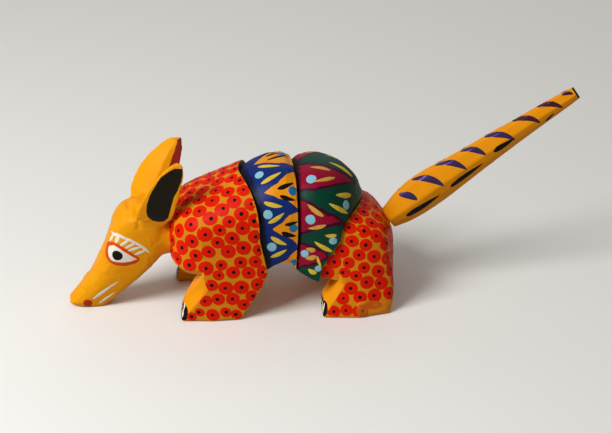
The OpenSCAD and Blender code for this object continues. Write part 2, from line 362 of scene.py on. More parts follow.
def half_section(row):
    """One side of a body section, from the ridge to the middle of the belly."""
    ridge_x, side_x, knee_x, sole_x, ridge_z, side_z, knee_z, sole_z = row[:8]
    side_y, knee_y, sole_y, inner_y, belly_z = row[8:]
    angle = np.linspace(0, math.pi / 2, 160)
    s = np.sin(angle) ** (2 / BACK_SQUARENESS)
    c = np.abs(np.cos(angle)) ** (2 / BACK_SQUARENESS)
    arch = np.stack([
        ridge_x + (side_x - ridge_x) * s ** BACK_SLANT,
        side_y * s,
        side_z + (ridge_z - side_z) * c,
    ], 1)
    corners = np.array([
        [side_x, side_y, side_z],
        [knee_x, knee_y, knee_z],
        [sole_x, sole_y, sole_z],
        [sole_x, inner_y, sole_z],
        [knee_x, inner_y - INSIDE_LEAN, belly_z],
        [knee_x, 0.0, belly_z],
    ])
    parts = [arch[:1], evenly(arch, SECTION_STEPS[BACK])]
    for k, count in enumerate(SECTION_STEPS[FLANK:]):
        parts.append(evenly(corners[k:k + 2], count))
    return np.concatenate(parts)


def whole_ring(half):
    return np.concatenate([half, half[-2:0:-1] * [1, -1, 1]])


def smoothed(rings, share):
    """Moves each point of a stack of rings towards the mean of its four neighbours."""
    near = (np.roll(rings, 1, 1) + np.roll(rings, -1, 1)) / 4
    near[1:-1] += (rings[:-2] + rings[2:]) / 4
    near[0] *= 2
    near[-1] *= 2
    return rings * (1 - share) + near * share


def quads(low, high, count):
    """Faces between two rings, given the numbers of their first points."""
    return [(low + k, low + (k + 1) % count, high + (k + 1) % count, high + k) for k in range(count)]


def fan(low, tip, count):
    """Faces between a ring and one point."""
    return [(low + k, low + (k + 1) % count, tip) for k in range(count)]


def ring_faces(rings, count):
    """Quads between neighbouring rings of equal count."""
    return [quad for i in range(rings - 1) for quad in quads(i * count, (i + 1) * count, count)]


def close_end(points, faces, start, count, reverse=False):
    """Closes a ring of points by smaller rings round its middle. Returns how many faces that took."""
    ring = np.array(points[start:start + count])
    middle = ring.mean(0)
    last = start
    made = []
    for share in CLOSING_SHARES:
        made += quads(last, len(points), count)
        last = len(points)
        points.extend((middle + (ring - middle) * share).tolist())
    made += fan(last, len(points), count)
    points.append(middle.tolist())
    faces.extend(face[::-1] if reverse else face for face in made)
    return len(made)


def loft(name, rings):
    points = np.concatenate(rings).tolist()
    count = len(rings[0])
    faces = ring_faces(len(rings), count)
    close_end(points, faces, 0, count, reverse=True)
    close_end(points, faces, (len(rings) - 1) * count, count)
    piece = make_object(name, points, faces)
    turn_outwards(piece)
    return piece


def knife_facets(piece, spacing, strength, seed):
    """Flattens the surface a little towards planes a few mm across, as a whittling knife leaves them."""
    random = np.random.default_rng(seed)
    places = vertex_places(piece)
    normals = vertex_normals(piece)
    chosen = []
    for k in random.permutation(len(places)):
        if len(chosen) == 0 or np.min(np.sum((places[chosen] - places[k]) ** 2, 1)) > spacing ** 2:
            chosen.append(k)
        if len(chosen) > MOST_FACETS:
            break
    centres = places[chosen]
    ways = normals[chosen] + random.normal(0, FACET_TILT, (len(chosen), 3))
    ways /= np.linalg.norm(ways, axis=1)[:, None]
    shift = np.zeros(len(places))
    for start in range(0, len(places), BATCH):
        part = slice(start, start + BATCH)
        gap = places[part][:, None, :] - centres[None]
        far = np.einsum("ijk,ijk->ij", gap, gap)
        near = np.argsort(far, axis=1)[:, :NEAR_FACETS]
        same_way = normals[part] @ ways.T > SAME_WAY
        rise = np.where(same_way, -np.einsum("ijk,jk->ij", gap, ways), NO_FACET)
        best = np.take_along_axis(rise, near, 1).min(1)
        shift[part] = np.where(best > NO_FACET - 1, 0.0, best)
    shift = np.clip(shift, -FACET_DEPTH, FACET_DEPTH) * strength
    return places + normals * (shift - FACET_SINK * FACET_DEPTH * strength)[:, None]


# The carved pieces

def carve_body():
    """The block with trunk and legs: four stepped stretches, each tucked under the one before.

    Returns it with the bands' grids of points and with marks for its vertices.
    """
    stretches = [
        (SHIELD, SHIELD_STEPS, (3, 4, 5, 6, 7, 8)),
        (FRONT_BAND, FRONT_BAND_STEPS, ()),
        (REAR_BAND, REAR_BAND_STEPS, ()),
        (RUMP, RUMP_STEPS, (0, 1, 2, 3, 4)),
    ]
    laid = []
    for number, (rows, steps, cuts) in enumerate(stretches):
        sections, shares = eased(rows, steps, LEG_COLUMNS, cuts)
        strips = [*np.repeat(np.arange(len(steps)), steps), RIM_STEP]
        for row, share, mark in zip(sections, shares, strips):
            laid.append((whole_ring(half_section(row)), number, share, mark))
        if number < len(stretches) - 1:
            under = whole_ring(half_section(stretches[number + 1][0][0]))
            inwards = ([0.0, 0.0, TRUNK_Z] - under) * [0, 1, 1]
            inwards /= np.maximum(np.linalg.norm(inwards, axis=1), 1e-6)[:, None]
            laid.append((under + inwards * TUCKED_IN - [TUCKED_FORWARD, 0, 0], number, 1.0, RIM_UNDER))
    rings, owner, across, strip = [np.array(column) for column in zip(*laid)]
    count = rings.shape[1]
    soles = rings[:, :, 2] < 0.01
    for _ in range(3):
        rings = smoothed(rings, 0.5)
    rings[:, :, 2] = np.where(soles, np.minimum(rings[:, :, 2], SOLE_LIFT), rings[:, :, 2])
    points = rings.reshape(-1, 3).tolist()
    faces = ring_faces(len(rings), count)
    part_of_half = np.repeat(np.arange(6), SECTION_STEPS)
    parts = np.concatenate([part_of_half, part_of_half[::-1]])
    slots = [body_slot(owner[i], strip[i], part) for i in range(len(rings) - 1) for part in parts]
    for start, reverse in ((0, True), ((len(rings) - 1) * count, False)):
        slots.extend([SHELL] * close_end(points, faces, start, count, reverse))
    piece = make_object("carved_body", points, faces, slots)
    turn_outwards(piece)
    half = (count + 2) // 2
    run = np.zeros((len(rings), count))
    run[:, 1:half] = -np.cumsum(np.linalg.norm(np.diff(rings[:, :half], axis=1), axis=2), 1)
    run[:, half:] = -run[:, half - 2:0:-1]
    grids = {}
    for number, name in ((FRONT, "front"), (REAR, "rear")):
        rows = (owner == number) & (strip != RIM_UNDER)
        grids[name] = (across[rows], run[rows], rings[rows])
    ends = np.zeros(len(points) - len(rings) * count)
    marks = {
        "across": np.concatenate([np.repeat(across, count), ends]),
        "round": np.concatenate([run.ravel(), ends]),
        "stretch": np.concatenate([np.repeat(owner, count), ends]),
    }
    return piece, grids, marks


def body_slot(stretch, strip, part):
    """Which paint a face of the body has."""
    if part == SOLE and (stretch, strip) in ((0, 4), (3, 2)):
        return CLAWS
    if part in (SOLE, INSIDE, BELLY):
        return PLAIN
    # Step faces under a rim take the dark rim paint, which is partly painted shade for the rim's shadow
    if strip >= RIM_STEP:
        return RIM
    if stretch in (FRONT, REAR):
        return stretch
    if part == LEG and (stretch, strip) in ((0, 3), (0, 4), (3, 1), (3, 2)):
        return PLAIN
    return SHELL


def bore(piece, start, end):
    """Bores a round hole along the tail's peg, lined with bare wood."""
    sides = 48
    angle = turns(sides)
    ring = np.cos(angle)[:, None] * TAIL_UP + np.sin(angle)[:, None] * np.cross(TAIL_ALONG, TAIL_UP)
    ring = ring * PEG_D / 2
    points = np.concatenate([TAIL_SEAT + TAIL_ALONG * at + ring for at in (start, end)])
    ends = [tuple(range(sides)), tuple(range(2 * sides - 1, sides - 1, -1))]
    drill = make_object("drill", points, ring_faces(2, sides) + ends)
    turn_outwards(drill)
    drill.data.materials.append(BARE_WOOD)
    cut = piece.modifiers.new("bore", "BOOLEAN")
    cut.operation = "DIFFERENCE"
    cut.solver = "EXACT"
    cut.object = drill
    cut.material_mode = "TRANSFER"
    settle(piece)
    bpy.data.objects.remove(drill)


def fuse(name, parts):
    """Joins overlapping closed parts to one skin."""
    bm = bmesh.new()
    for part in parts:
        bm.from_mesh(part.data)
        bpy.data.objects.remove(part)
    mesh = bpy.data.meshes.new(name)
    bm.to_mesh(mesh)
    bm.free()
    piece = add_to_scene(name, mesh)
    skin = piece.modifiers.new("skin", "REMESH")
    skin.mode = "VOXEL"
    skin.voxel_size = HEAD_GRAIN * MM
    return settle(piece)


def neighbour_mean(piece, places):
    """For each vertex, the mean of the vertices it shares an edge with."""
    ends = np.empty(len(piece.data.edges) * 2, np.int32)
    piece.data.edges.foreach_get("vertices", ends)
    a = np.concatenate([ends[::2], ends[1::2]])
    b = np.concatenate([ends[1::2], ends[::2]])
    count = np.maximum(np.bincount(a, minlength=len(places)), 1)
    return np.stack([np.bincount(a, places[b, k], len(places)) / count for k in range(3)], 1)


def soften(piece, rounds):
    """Rounds the arrises of a piece; the push back after each pull keeps it from shrinking."""
    places = vertex_places(piece)
    for _ in range(rounds):
        places += SOFTEN_PULL * (neighbour_mean(piece, places) - places)
        places -= SOFTEN_PUSH * (neighbour_mean(piece, places) - places)
    move_vertices(piece, places)


def fillet(piece, first, second, reach, rounds):
    """Fills the corner between two parts of a fused piece, given those parts' own surfaces."""
    places = vertex_places(piece)
    gaps = []
    for place in places:
        gaps.append(max(surface.find_nearest(Vector(place))[3] for surface in (first, second)))
    share = (np.clip(1.4 - np.array(gaps) / reach, 0, 1) * 0.5)[:, None]
    for _ in range(rounds):
        places += share * (neighbour_mean(piece, places) - places)
    move_vertices(piece, places)


def saw_off(piece, name, point, way, side):
    """Saws one side of a piece on a plane and closes both cuts. What lies beyond becomes its own piece."""
    point = Vector(point) * MM
    way = Vector(way)
    made = []
    for beyond in (True, False):
        mesh = piece.data.copy()
        mesh.name = name if beyond else piece.name
        with opened(mesh) as bm:
            faces = [f for f in bm.faces if all(v.co.y * side > 0 for v in f.verts)]
            edges = dict.fromkeys(e for f in faces for e in f.edges)
            verts = dict.fromkeys(v for f in faces for v in f.verts)
            bmesh.ops.bisect_plane(
                bm, geom=[*verts, *edges, *faces], plane_co=point, plane_no=way, clear_outer=not beyond)
            if beyond:
                rest = []
                for face in bm.faces:
                    middle = face.calc_center_median()
                    if middle.y * side < 0 or (middle - point).dot(way) < 0:
                        rest.append(face)
                bmesh.ops.delete(bm, geom=rest, context="FACES")
            bmesh.ops.holes_fill(bm, edges=[e for e in bm.edges if e.is_boundary], sides=0)
            bmesh.ops.triangulate(bm, faces=[f for f in bm.faces if len(f.verts) > 4])
        made.append(mesh)
    cut_off = add_to_scene(name, made[0])
    piece.data = made[1]
    for part in (cut_off, piece):
        turn_outwards(part)
    return cut_off


def head_block():
    sections, _ = eased(HEAD, HEAD_STEPS)
    angle = turns(HEAD_POINTS)
    square = np.where(np.cos(angle) > 0, HEAD_SQUARENESS, CHEEK_SQUARENESS)
    c = np.sign(np.cos(angle)) * np.abs(np.cos(angle)) ** (2 / square)
    s = np.sign(np.sin(angle)) * np.abs(np.sin(angle)) ** (2 / square)
    rings = []
    for z, front, back, wide in sections:
        x = (front + back) / 2 - (back - front) / 2 * c
        rings.append(np.stack([x, wide * s, np.full(HEAD_POINTS, z)], 1))
    return loft("skull", rings)


def neck_block():
    angle = turns(NECK_POINTS)
    y = NECK_D / 2 * np.sin(angle)
    z = NECK_Z + NECK_D / 2 * np.cos(angle)
    along = np.linspace(NECK_START, NECK_X + NECK_OVERLAP, 17)
    return loft("neck", [np.stack([np.full(NECK_POINTS, x), y, z], 1) for x in along])


def ear_block(side):
    """A flat outer face, a blunt front edge, a rounded inner face and a slanted rear."""
    sections, _ = eased(EAR, EAR_STEPS)
    rings = []
    for z, front, rear, y_front, y_outer, y_inner in sections:
        if side > 0:
            front -= FAR_EAR_WIDER * min(1.0, max(0.0, (FAR_EAR_TOP - z) / 8.0))
            rear += FAR_EAR_DEEPER * min(1.0, max(0.0, (z - FAR_EAR_FOOT) / 6.0))
        deep = rear - front
        line = np.array([
            [front, y_front - 0.5, z],
            [front + 0.5, y_front, z],
            [rear - 0.2, y_outer, z],
            [rear, y_outer - 0.4, z],
            [front + deep * 0.7, y_inner, z],
            [front + deep * 0.45, y_inner - 0.1, z],
            [front + deep * 0.16, y_front + (y_inner - y_front) * 0.55, z],
            [front, y_front - 0.5, z],
        ])
        rings.append(evenly(line, EAR_POINTS) * [1, side, 1])
    return loft("ear_block", rings)


# Chiselled folds where the ears meet the forehead: where the camera sees each, half its width and its depth
EAR_FOLDS = [
    ([(136.7, 204.0), (136.5, 212.0), (137.6, 221.0), (139.0, 229.5)], 1.7, 0.9),
    ([(126.3, 199.6), (127.6, 203.9), (129.4, 208.6)], 1.2, 0.55),
]


def chisel(piece, line, reach, depth):
    """Cuts a groove along a line of points, shallower at its ends, and its twin on the other side."""
    steps = 24
    line = evenly(np.asarray(line), steps)
    fades = np.sin(math.pi * (np.arange(steps) + 0.5) / steps) ** 0.5
    places = vertex_places(piece)
    normals = vertex_normals(piece)
    for flip in (1, -1):
        gaps = np.linalg.norm(places[:, None] - (line * [1, flip, 1])[None], axis=2)
        cut = depth * fades[gaps.argmin(1)] * np.clip(1 - gaps.min(1) / reach, 0, 1) ** 1.4
        places = places - normals * cut[:, None]
    move_vertices(piece, places)


def carve_head():
    """Skull, neck and ears under one skin with filled seams. The ears are then sawn off again."""
    parts = [head_block(), neck_block(), ear_block(-1), ear_block(1)]
    skull, neck, left, right = [surface_of(part) for part in parts]
    whole = fuse("carved_head", parts)
    soften(whole, 4)
    for other, reach, rounds in ((left, 3.0, 60), (right, 3.0, 60), (neck, 2.2, 30)):
        fillet(whole, skull, other, reach, rounds)
    carved = knife_facets(whole, 4.6, 0.5, 5)
    carved[:, 0] = np.maximum(carved[:, 0], cad_low[0] / MM)
    carved[:, 2] = np.maximum(carved[:, 2], 0.0)
    move_vertices(whole, carved)
    for pixels, reach, depth in EAR_FOLDS:
        chisel(whole, seen(Skin(whole), pixels), reach, depth)
    ears = {}
    for name, side in EARS:
        flip = [1, side, 1]
        ears[name] = saw_off(whole, "carved_" + name, EAR_CUT_AT * flip, EAR_CUT_WAY * flip, side)
    return whole, ears


def carve_tail():
    sections, _ = eased(TAIL, TAIL_STEPS)
    corners = np.array(TAIL_CORNERS)
    rings = []
    for share, high, wide, rise in sections:
        line = np.concatenate([corners * [high, wide], np.zeros((len(corners), 1))], 1)
        flat = np.concatenate([evenly(line[k:k + 2], TAIL_SIDE_STEPS) for k in range(len(corners) - 1)])
        middle = TAIL_SEAT + TAIL_ALONG * (TAIL_GAP + share * (TAIL_LENGTH - TAIL_GAP))
        rings.append(middle + TAIL_UP * (flat[:, :1] + rise) + flat[:, 1:2] * [0, 1, 0])
    return loft("carved_tail", list(smoothed(np.array(rings), 0.25)))


# Paints

def put(tree, kind, inputs=None, **settings):
    """A node with its settings and its inputs, each a value or another node's output."""
    made = tree.nodes.new(kind)
    for name, value in settings.items():
        setattr(made, name, value)
    for name, value in (inputs or {}).items():
        if isinstance(value, bpy.types.NodeSocket):
            tree.links.new(value, made.inputs[name])
        else:
            made.inputs[name].default_value = value
    return made


def arith(tree, operation, a, b=0.0, clamp=False):
    return put(tree, "ShaderNodeMath", {0: a, 1: b}, operation=operation, use_clamp=clamp).outputs[0]


def away(tree, value, middle, amount, clamp=False):
    """How far a value lies from a middle, times an amount."""
    return arith(tree, "MULTIPLY", arith(tree, "SUBTRACT", value, middle), amount, clamp)


def inside_edge(tree, distance, steepness):
    """1 inside an edge and 0 outside it, from the distance to it."""
    inputs = {0: distance, 1: steepness, 2: 0.5}
    return put(tree, "ShaderNodeMath", inputs, operation="MULTIPLY_ADD", use_clamp=True).outputs[0]


def blend(tree, share, first, second):
    made = put(tree, "ShaderNodeMix", data_type="RGBA")
    for name, value in (("Factor", share), ("A", first), ("B", second)):
        socket = [s for s in made.inputs if s.name == name and s.enabled][0]
        if isinstance(value, bpy.types.NodeSocket):
            tree.links.new(value, socket)
        else:
            socket.default_value = value
    return [s for s in made.outputs if s.enabled][0]


def noise(tree, where, scale, detail, roughness=0.5):
    inputs = {"Vector": where, "Scale": scale, "Detail": detail, "Roughness": roughness}
    return put(tree, "ShaderNodeTexNoise", inputs).outputs


def stretched(tree, where, scale, rotation=(0.0, 0.0, 0.0)):
    return put(tree, "ShaderNodeMapping", {"Vector": where, "Rotation": rotation, "Scale": scale}).outputs[0]


def mark_of(tree, name):
    return put(tree, "ShaderNodeAttribute", attribute_name=name).outputs["Fac"]


def colour(red, green, blue):
    """A colour picked on screen, 0 to 255, as the linear value that a shader takes."""
    found = []
    for value in (red, green, blue):
        v = value / 255
        found.append(v / 12.92 if v <= 0.04045 else ((v + 0.055) / 1.055) ** 2.4)
    return (*found, 1.0)


def new_group(name, kind, takes, gives):
    """A node group with named inputs and outputs. Returns it with what it is given and what it hands on."""
    tree = bpy.data.node_groups.new(name, kind)
    for way, sockets in (("INPUT", takes), ("OUTPUT", gives)):
        for socket, sort in sockets.items():
            tree.interface.new_socket(socket, in_out=way, socket_type="NodeSocket" + sort)
    return tree, tree.nodes.new("NodeGroupInput").outputs, tree.nodes.new("NodeGroupOutput").inputs


def hand_brushed_group():
    """Craft paint laid on by hand: cloudy thickness, brush streaks and the wood's grain under it."""
    takes = {
        "Paint": "Color", "Thin Paint": "Color", "Cloudiness": "Float",
        "Streaks": "Float", "Grain": "Float", "Dullness": "Float"}
    gives = {"Colour": "Color", "Roughness": "Float", "Height": "Float"}
    tree, given, result = new_group("hand_brushed", "ShaderNodeTree", takes, gives)
    where = put(tree, "ShaderNodeTexCoord").outputs["Object"]
    cloud = noise(tree, where, 150.0, 4.0, 0.6)[0]
    streak = noise(tree, stretched(tree, where, (350.0, 1900.0, 1900.0), (0.2, 0.5, 0.3)), 1.0, 3.0)[0]
    grain = noise(tree, stretched(tree, where, (220.0, 3600.0, 3600.0)), 1.0, 2.0)[0]
    thin = away(tree, cloud, 0.42, given["Cloudiness"])
    thin = arith(tree, "ADD", thin, away(tree, streak, 0.5, given["Streaks"]))
    thin = arith(tree, "ADD", thin, away(tree, grain, 0.55, given["Grain"]), True)
    shade = blend(tree, thin, given["Paint"], given["Thin Paint"])
    rough = arith(tree, "ADD", given["Dullness"], away(tree, cloud, 0.5, 0.3), True)
    high = arith(tree, "ADD", arith(tree, "MULTIPLY", streak, 0.6), arith(tree, "MULTIPLY", grain, 0.4))
    for name, socket in zip(gives, (shade, rough, high)):
        tree.links.new(socket, result[name])
    return tree


HAND_BRUSHED = hand_brushed_group()
BRUSH_RELIEF = 0.00003


def painted(name, paint, thin, cloudiness=0.8, streaks=0.5, grain=0.4, dullness=0.45, metal=0.0, shine=0.08):
    """A material of one craft paint, with the colour it has where it is thin."""
    material = bpy.data.materials.new(name)
    material.use_nodes = True
    tree = material.node_tree
    tree.nodes.clear()
    brushed = put(tree, "ShaderNodeGroup", {
        "Paint": colour(*paint), "Thin Paint": colour(*thin), "Cloudiness": cloudiness,
        "Streaks": streaks, "Grain": grain, "Dullness": dullness}, node_tree=HAND_BRUSHED).outputs
    relief = {"Height": brushed["Height"], "Strength": 0.6, "Distance": BRUSH_RELIEF}
    shader = put(tree, "ShaderNodeBsdfPrincipled", {
        "Base Color": brushed["Colour"],
        "Roughness": brushed["Roughness"],
        "Normal": put(tree, "ShaderNodeBump", relief).outputs[0],
        "Metallic": metal,
        "Specular IOR Level": shine,
    })
    put(tree, "ShaderNodeOutputMaterial", {"Surface": shader.outputs[0]})
    return material


def two_paints(name, edge_name, first, second, shaky, shine, groove=None, line=None, back=None):
    """One paint on another inside the edge that an attribute gives in mm, with a line between if given.

    On a band the first part, in the groove, is darkened towards near black: partly dark paint, partly painted
    shade for the rim's shadow. On an ear the back has a paint of its own.
    """
    material = painted(name, *first, shine=shine)
    tree = material.node_tree
    shader = [n for n in tree.nodes if n.type == "BSDF_PRINCIPLED"][0]
    ground = [n for n in tree.nodes if n.type == "GROUP"][0]
    over = {socket.name: socket.default_value for socket in ground.inputs}
    over.update({"Paint": colour(*second[0]), "Thin Paint": colour(*second[1])})
    over = put(tree, "ShaderNodeGroup", over, node_tree=HAND_BRUSHED)
    shake = noise(tree, put(tree, "ShaderNodeTexCoord").outputs["Object"], 420.0, 2.0)[0]
    edge = arith(tree, "ADD", mark_of(tree, edge_name), away(tree, shake, 0.5, shaky))
    shade = blend(tree, inside_edge(tree, edge, 8.0), ground.outputs["Colour"], over.outputs["Colour"])
    if line:
        off = arith(tree, "ABSOLUTE", arith(tree, "ADD", edge, 0.1))
        on_line = arith(tree, "MULTIPLY", arith(tree, "SUBTRACT", 0.5, off), 6.0, True)
        shade = blend(tree, on_line, shade, colour(*line))
    # Painted shade: the front of a band, in the groove under the rim before it, goes towards near black,
    # partly dark paint and partly shadow painted in
    if groove:
        across = arith(tree, "ADD", mark_of(tree, "across"), away(tree, shake, 0.5, groove * 0.6))
        groove_shade = away(tree, groove, across, 2.2 / groove, True)
        shade = blend(tree, arith(tree, "MULTIPLY", groove_shade, 0.9), shade, colour(12, 12, 18))
    if back:
        shade = blend(tree, inside_edge(tree, mark_of(tree, "ear_back_edge"), 6.0), shade, colour(*back))
    tree.links.new(shade, shader.inputs["Base Color"])
    return material


ORANGE = painted("orange_paint", (244, 156, 10), (216, 118, 2))
HEAD_ORANGE = painted("head_orange", (246, 164, 12), (220, 124, 2), grain=0.6)
SHELL_AMBER = painted("shell_amber", (222, 138, 18), (190, 100, 4))
# Each band's front, in the groove, is darkened: dark paint there and painted shade
BLUE_BAND = two_paints(
    "front_band_paint", "triangle_edge", ((18, 43, 114), (8, 24, 82)), ((242, 152, 10), (218, 120, 4)),
    0.7, 0.12, groove=0.2)
GREEN_BAND = two_paints(
    "rear_band_paint", "triangle_edge", ((2, 62, 46), (1, 40, 30)), ((148, 6, 44), (108, 2, 30)),
    0.7, 0.12, groove=0.1, line=(60, 5, 34))
EAR_PAINT = two_paints(
    "ear_paint", "ear_face_edge", ((246, 164, 12), (220, 124, 2)), ((26, 20, 9), (15, 11, 5)),
    0.3, 0.1, back=(194, 48, 8))
CLAW_BLACK = painted("claw_black", (18, 14, 10), (10, 8, 6), dullness=0.5, shine=0.08)
RED = painted("dot_red", (230, 28, 1), (204, 14, 0), dullness=0.4)
# Step faces under each rim: dark paint that also stands in for the shadow the overhang casts there, a painted
# shade
RIM_PAINT_AND_SHADE = painted("rim_dark", (30, 24, 22), (16, 13, 13), dullness=0.55)
BLACK = painted("stroke_black", (16, 12, 9), (8, 6, 4), dullness=0.5, shine=0.08)
TIP_BLACK = painted("tip_black", (34, 24, 12), (18, 12, 6), cloudiness=1.0, dullness=0.56, shine=0.08)
PALE_BLUE = painted("pale_blue", (140, 196, 216), (104, 164, 186))
MID_BLUE = painted("mid_blue", (36, 116, 164), (20, 86, 130))
YELLOW = painted("yellow_stroke", (226, 196, 62), (156, 124, 18), cloudiness=0.9, streaks=1.3)
GOLD = painted("gold_stroke", (208, 164, 68), (138, 72, 36), cloudiness=0.9, streaks=1.9, dullness=0.34)
VIOLET = painted("violet_stroke", (74, 56, 104), (32, 22, 46), cloudiness=1.3, dullness=0.3, metal=0.5)
PLUM = painted("plum_stroke", (80, 36, 58), (34, 14, 24), cloudiness=1.3, dullness=0.34, metal=0.4)
WHITE = painted("white_paint", (246, 240, 226), (226, 200, 160), cloudiness=0.9)
LID_RED = painted("lid_red", (224, 76, 16), (196, 50, 6))
NOSTRIL_RED = painted("nostril_red", (192, 58, 16), (160, 36, 6))
WIPED_ORANGE = painted("wiped_orange", (226, 138, 26), (220, 88, 16), cloudiness=1.7)
WIPED_RED = painted("wiped_red", (206, 90, 20), (218, 128, 26), cloudiness=2.0, streaks=1.4)
WIPED_BLACK = painted("wiped_black", (112, 86, 24), (150, 96, 26), cloudiness=1.4)
BARE_WOOD = painted("bare_wood", (214, 180, 132), (178, 138, 88), cloudiness=0.9, grain=1.4, dullness=0.62)


# Brush dabs laid on the carving

# How far out along its radius a dab's edge is tried; the farthest that meets the carving is kept
RIM_SHARES = [0.2, 0.3, 0.4, 0.48, 0.56, 0.64, 0.7, 0.76, 0.82, 0.88, 0.94, 1.0]
# The lowest that paint comes to the ground, in metres
LOWEST_PAINT = 0.00002


def dab_tree():
    """Lays a flat lens of paint on the carving at each point, by that point's length, width and direction."""
    takes = {
        "Points": "Geometry", "Carving": "Object", "Paint": "Material", "Thickness": "Float", "Lift": "Float",
        "Wobble": "Float", "Segments": "Int", "Rings": "Int", "Long": "Bool", "Drop": "Float"}
    tree, given, result = new_group("brush_dabs", "GeometryNodeTree", takes, {"Dabs": "Geometry"})

    def first_of(kind, inputs, **settings):
        return put(tree, kind, inputs, **settings).outputs[0]

    def own(name, kind="FLOAT"):
        return first_of("GeometryNodeInputNamedAttribute", {"Name": name}, data_type=kind)

    def remember(geometry, name, value):
        inputs = {"Geometry": geometry, "Name": name, "Value": value}
        return first_of("GeometryNodeStoreNamedAttribute", inputs, data_type="FLOAT_VECTOR", domain="POINT")

    def split(value):
        return put(tree, "ShaderNodeSeparateXYZ", {0: value}).outputs

    def joined(x, y, z):
        return first_of("ShaderNodeCombineXYZ", {0: x, 1: y, 2: z})

    def vector(operation, a, b):
        return first_of("ShaderNodeVectorMath", {0: a, 1: b}, operation=operation)

    def scaled(a, scale):
        return first_of("ShaderNodeVectorMath", {0: a, "Scale": scale}, operation="SCALE")

    def either(choice, no, yes):
        return first_of("GeometryNodeSwitch", {0: choice, 1: no, 2: yes}, input_type="VECTOR")

    def times(a, b):
        return arith(tree, "MULTIPLY", a, b)

    place = put(tree, "GeometryNodeInputPosition").outputs[0]
    lens = {"Segments": given["Segments"], "Rings": given["Rings"], "Radius": 1.0}
    ball = split(place)
    shape = either(given["Long"], place, joined(ball[2], ball[0], ball[1]))
    lens = remember(first_of("GeometryNodeMeshUVSphere", lens), "local", shape)
    points = remember(given["Points"], "centre", place)
    dabs = first_of("GeometryNodeInstanceOnPoints", {"Points": points, "Instance": lens})
    dabs = first_of("GeometryNodeRealizeInstances", {"Geometry": dabs})
    local = split(own("local", "FLOAT_VECTOR"))
    along = own("along", "FLOAT_VECTOR")
    facing = own("facing", "FLOAT_VECTOR")
    centre = own("centre", "FLOAT_VECTOR")
    square = times(local[0], local[0])
    narrow = arith(tree, "SUBTRACT", 1.0, times(own("point"), square))
    narrow = times(narrow, arith(tree, "SUBTRACT", 1.0, times(own("taper"), local[0])))
    wide = times(times(local[1], narrow), own("half_width"))
    bent = times(arith(tree, "SUBTRACT", square, 1.0), own("bend"))
    at = vector("ADD", centre, scaled(along, times(local[0], own("half_length"))))
    at = vector("ADD", at, scaled(vector("CROSS_PRODUCT", facing, along), arith(tree, "ADD", wide, bent)))
    shake = vector("SUBTRACT", noise(tree, at, 380.0, 1.0)["Color"], (0.5, 0.5, 0.5))
    at = vector("ADD", at, scaled(shake, given["Wobble"]))
    carving = put(tree, "GeometryNodeObjectInfo", {"Object": given["Carving"]}).outputs["Geometry"]
    above = scaled(facing, given["Drop"])
    reach = vector("SUBTRACT", at, centre)
    ground = centre
    for share in RIM_SHARES:
        over = vector("ADD", centre, scaled(reach, share))
        ray = put(tree, "GeometryNodeRaycast", {
            "Target Geometry": carving,
            "Source Position": vector("ADD", over, above),
            "Ray Direction": scaled(facing, -1.0),
            "Ray Length": times(given["Drop"], 2.0),
        }).outputs
        ground = either(ray["Is Hit"], ground, ray["Hit Position"])
    rise = arith(tree, "ADD", given["Lift"], times(local[2], given["Thickness"]))
    final = split(vector("ADD", ground, scaled(facing, rise)))
    final = joined(final[0], final[1], arith(tree, "MAXIMUM", final[2], LOWEST_PAINT))
    dabs = first_of("GeometryNodeSetPosition", {"Geometry": dabs, "Position": final})
    dabs = first_of("GeometryNodeSetShadeSmooth", {"Geometry": dabs})
    dabs = first_of("GeometryNodeRealizeInstances", {"Geometry": dabs})
    dabs = first_of("GeometryNodeSetMaterial", {"Geometry": dabs, "Material": given["Paint"]})
    tree.links.new(dabs, result["Dabs"])
    return tree


DAB_TREE = dab_tree()
# Segments and rings of a dab's lens; with more rings than segments, its ends lie along the stroke
STROKE_LENS = (12, 22)
DOT_LENS = (12, 5)
PIP_LENS = (8, 4)
ROUND_LENS = (16, 6)


def lay_dabs(name, dabs, skin, paint, lift=0.03, thickness=0.06, wobble=0.25, lens=STROKE_LENS, drop=1.2):
    """One piece of paint dabs. Each is a dict in mm: at, along, facing, length, width, taper, point, bend.

    Where the carving lies farther above or under a dab than the drop, the dab stops at the rim.
    """
    mesh = bpy.data.meshes.new(name)
    mesh.from_pydata([tuple(np.asarray(d["at"]) * MM) for d in dabs], [], [])
    for key in ("along", "facing"):
        add_attribute(mesh, key, [d[key] for d in dabs], "FLOAT_VECTOR")
    lists = {
        "half_length": [d["length"] * MM / 2 for d in dabs],
        "half_width": [d["width"] * MM / 2 for d in dabs],
        "taper": [d.get("taper", 0.0) for d in dabs],
        "point": [d.get("point", 0.0) for d in dabs],
        "bend": [d.get("bend", 0.0) * MM for d in dabs],
    }
    for key, values in lists.items():
        add_attribute(mesh, key, values)
    source = add_to_scene(name + "_points", mesh)
    modifier = source.modifiers.new("dabs", "NODES")
    modifier.node_group = DAB_TREE
    settings = {
        "Carving": skin.piece, "Paint": paint, "Thickness": thickness * MM, "Lift": lift * MM,
        "Wobble": wobble * MM, "Drop": drop * MM,
        "Segments": lens[0], "Rings": lens[1], "Long": lens[1] > lens[0]}
    for item in DAB_TREE.interface.items_tree:
        if item.in_out == "INPUT" and item.name in settings:
            modifier[item.identifier] = settings[item.name]
    made = with_modifiers(source)
    bpy.data.objects.remove(source)
    for key in ("along", "facing", "local", "centre", *lists):
        if key in made.attributes:
            made.attributes.remove(made.attributes[key])
    made.name = name
    piece = add_to_scene(name, made)
    turn_outwards(piece)
    dress(piece, skin.rides_on, skin.slot)


def dress(piece, body, slot, *nodes):
    """Lets a finished piece ride on its body, and stand for solids if any are named."""
    piece.data.shade_smooth()
    piece.data.set_sharp_from_angle(angle=math.radians(40))
    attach(piece, body)
    if nodes:
        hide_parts(*nodes)


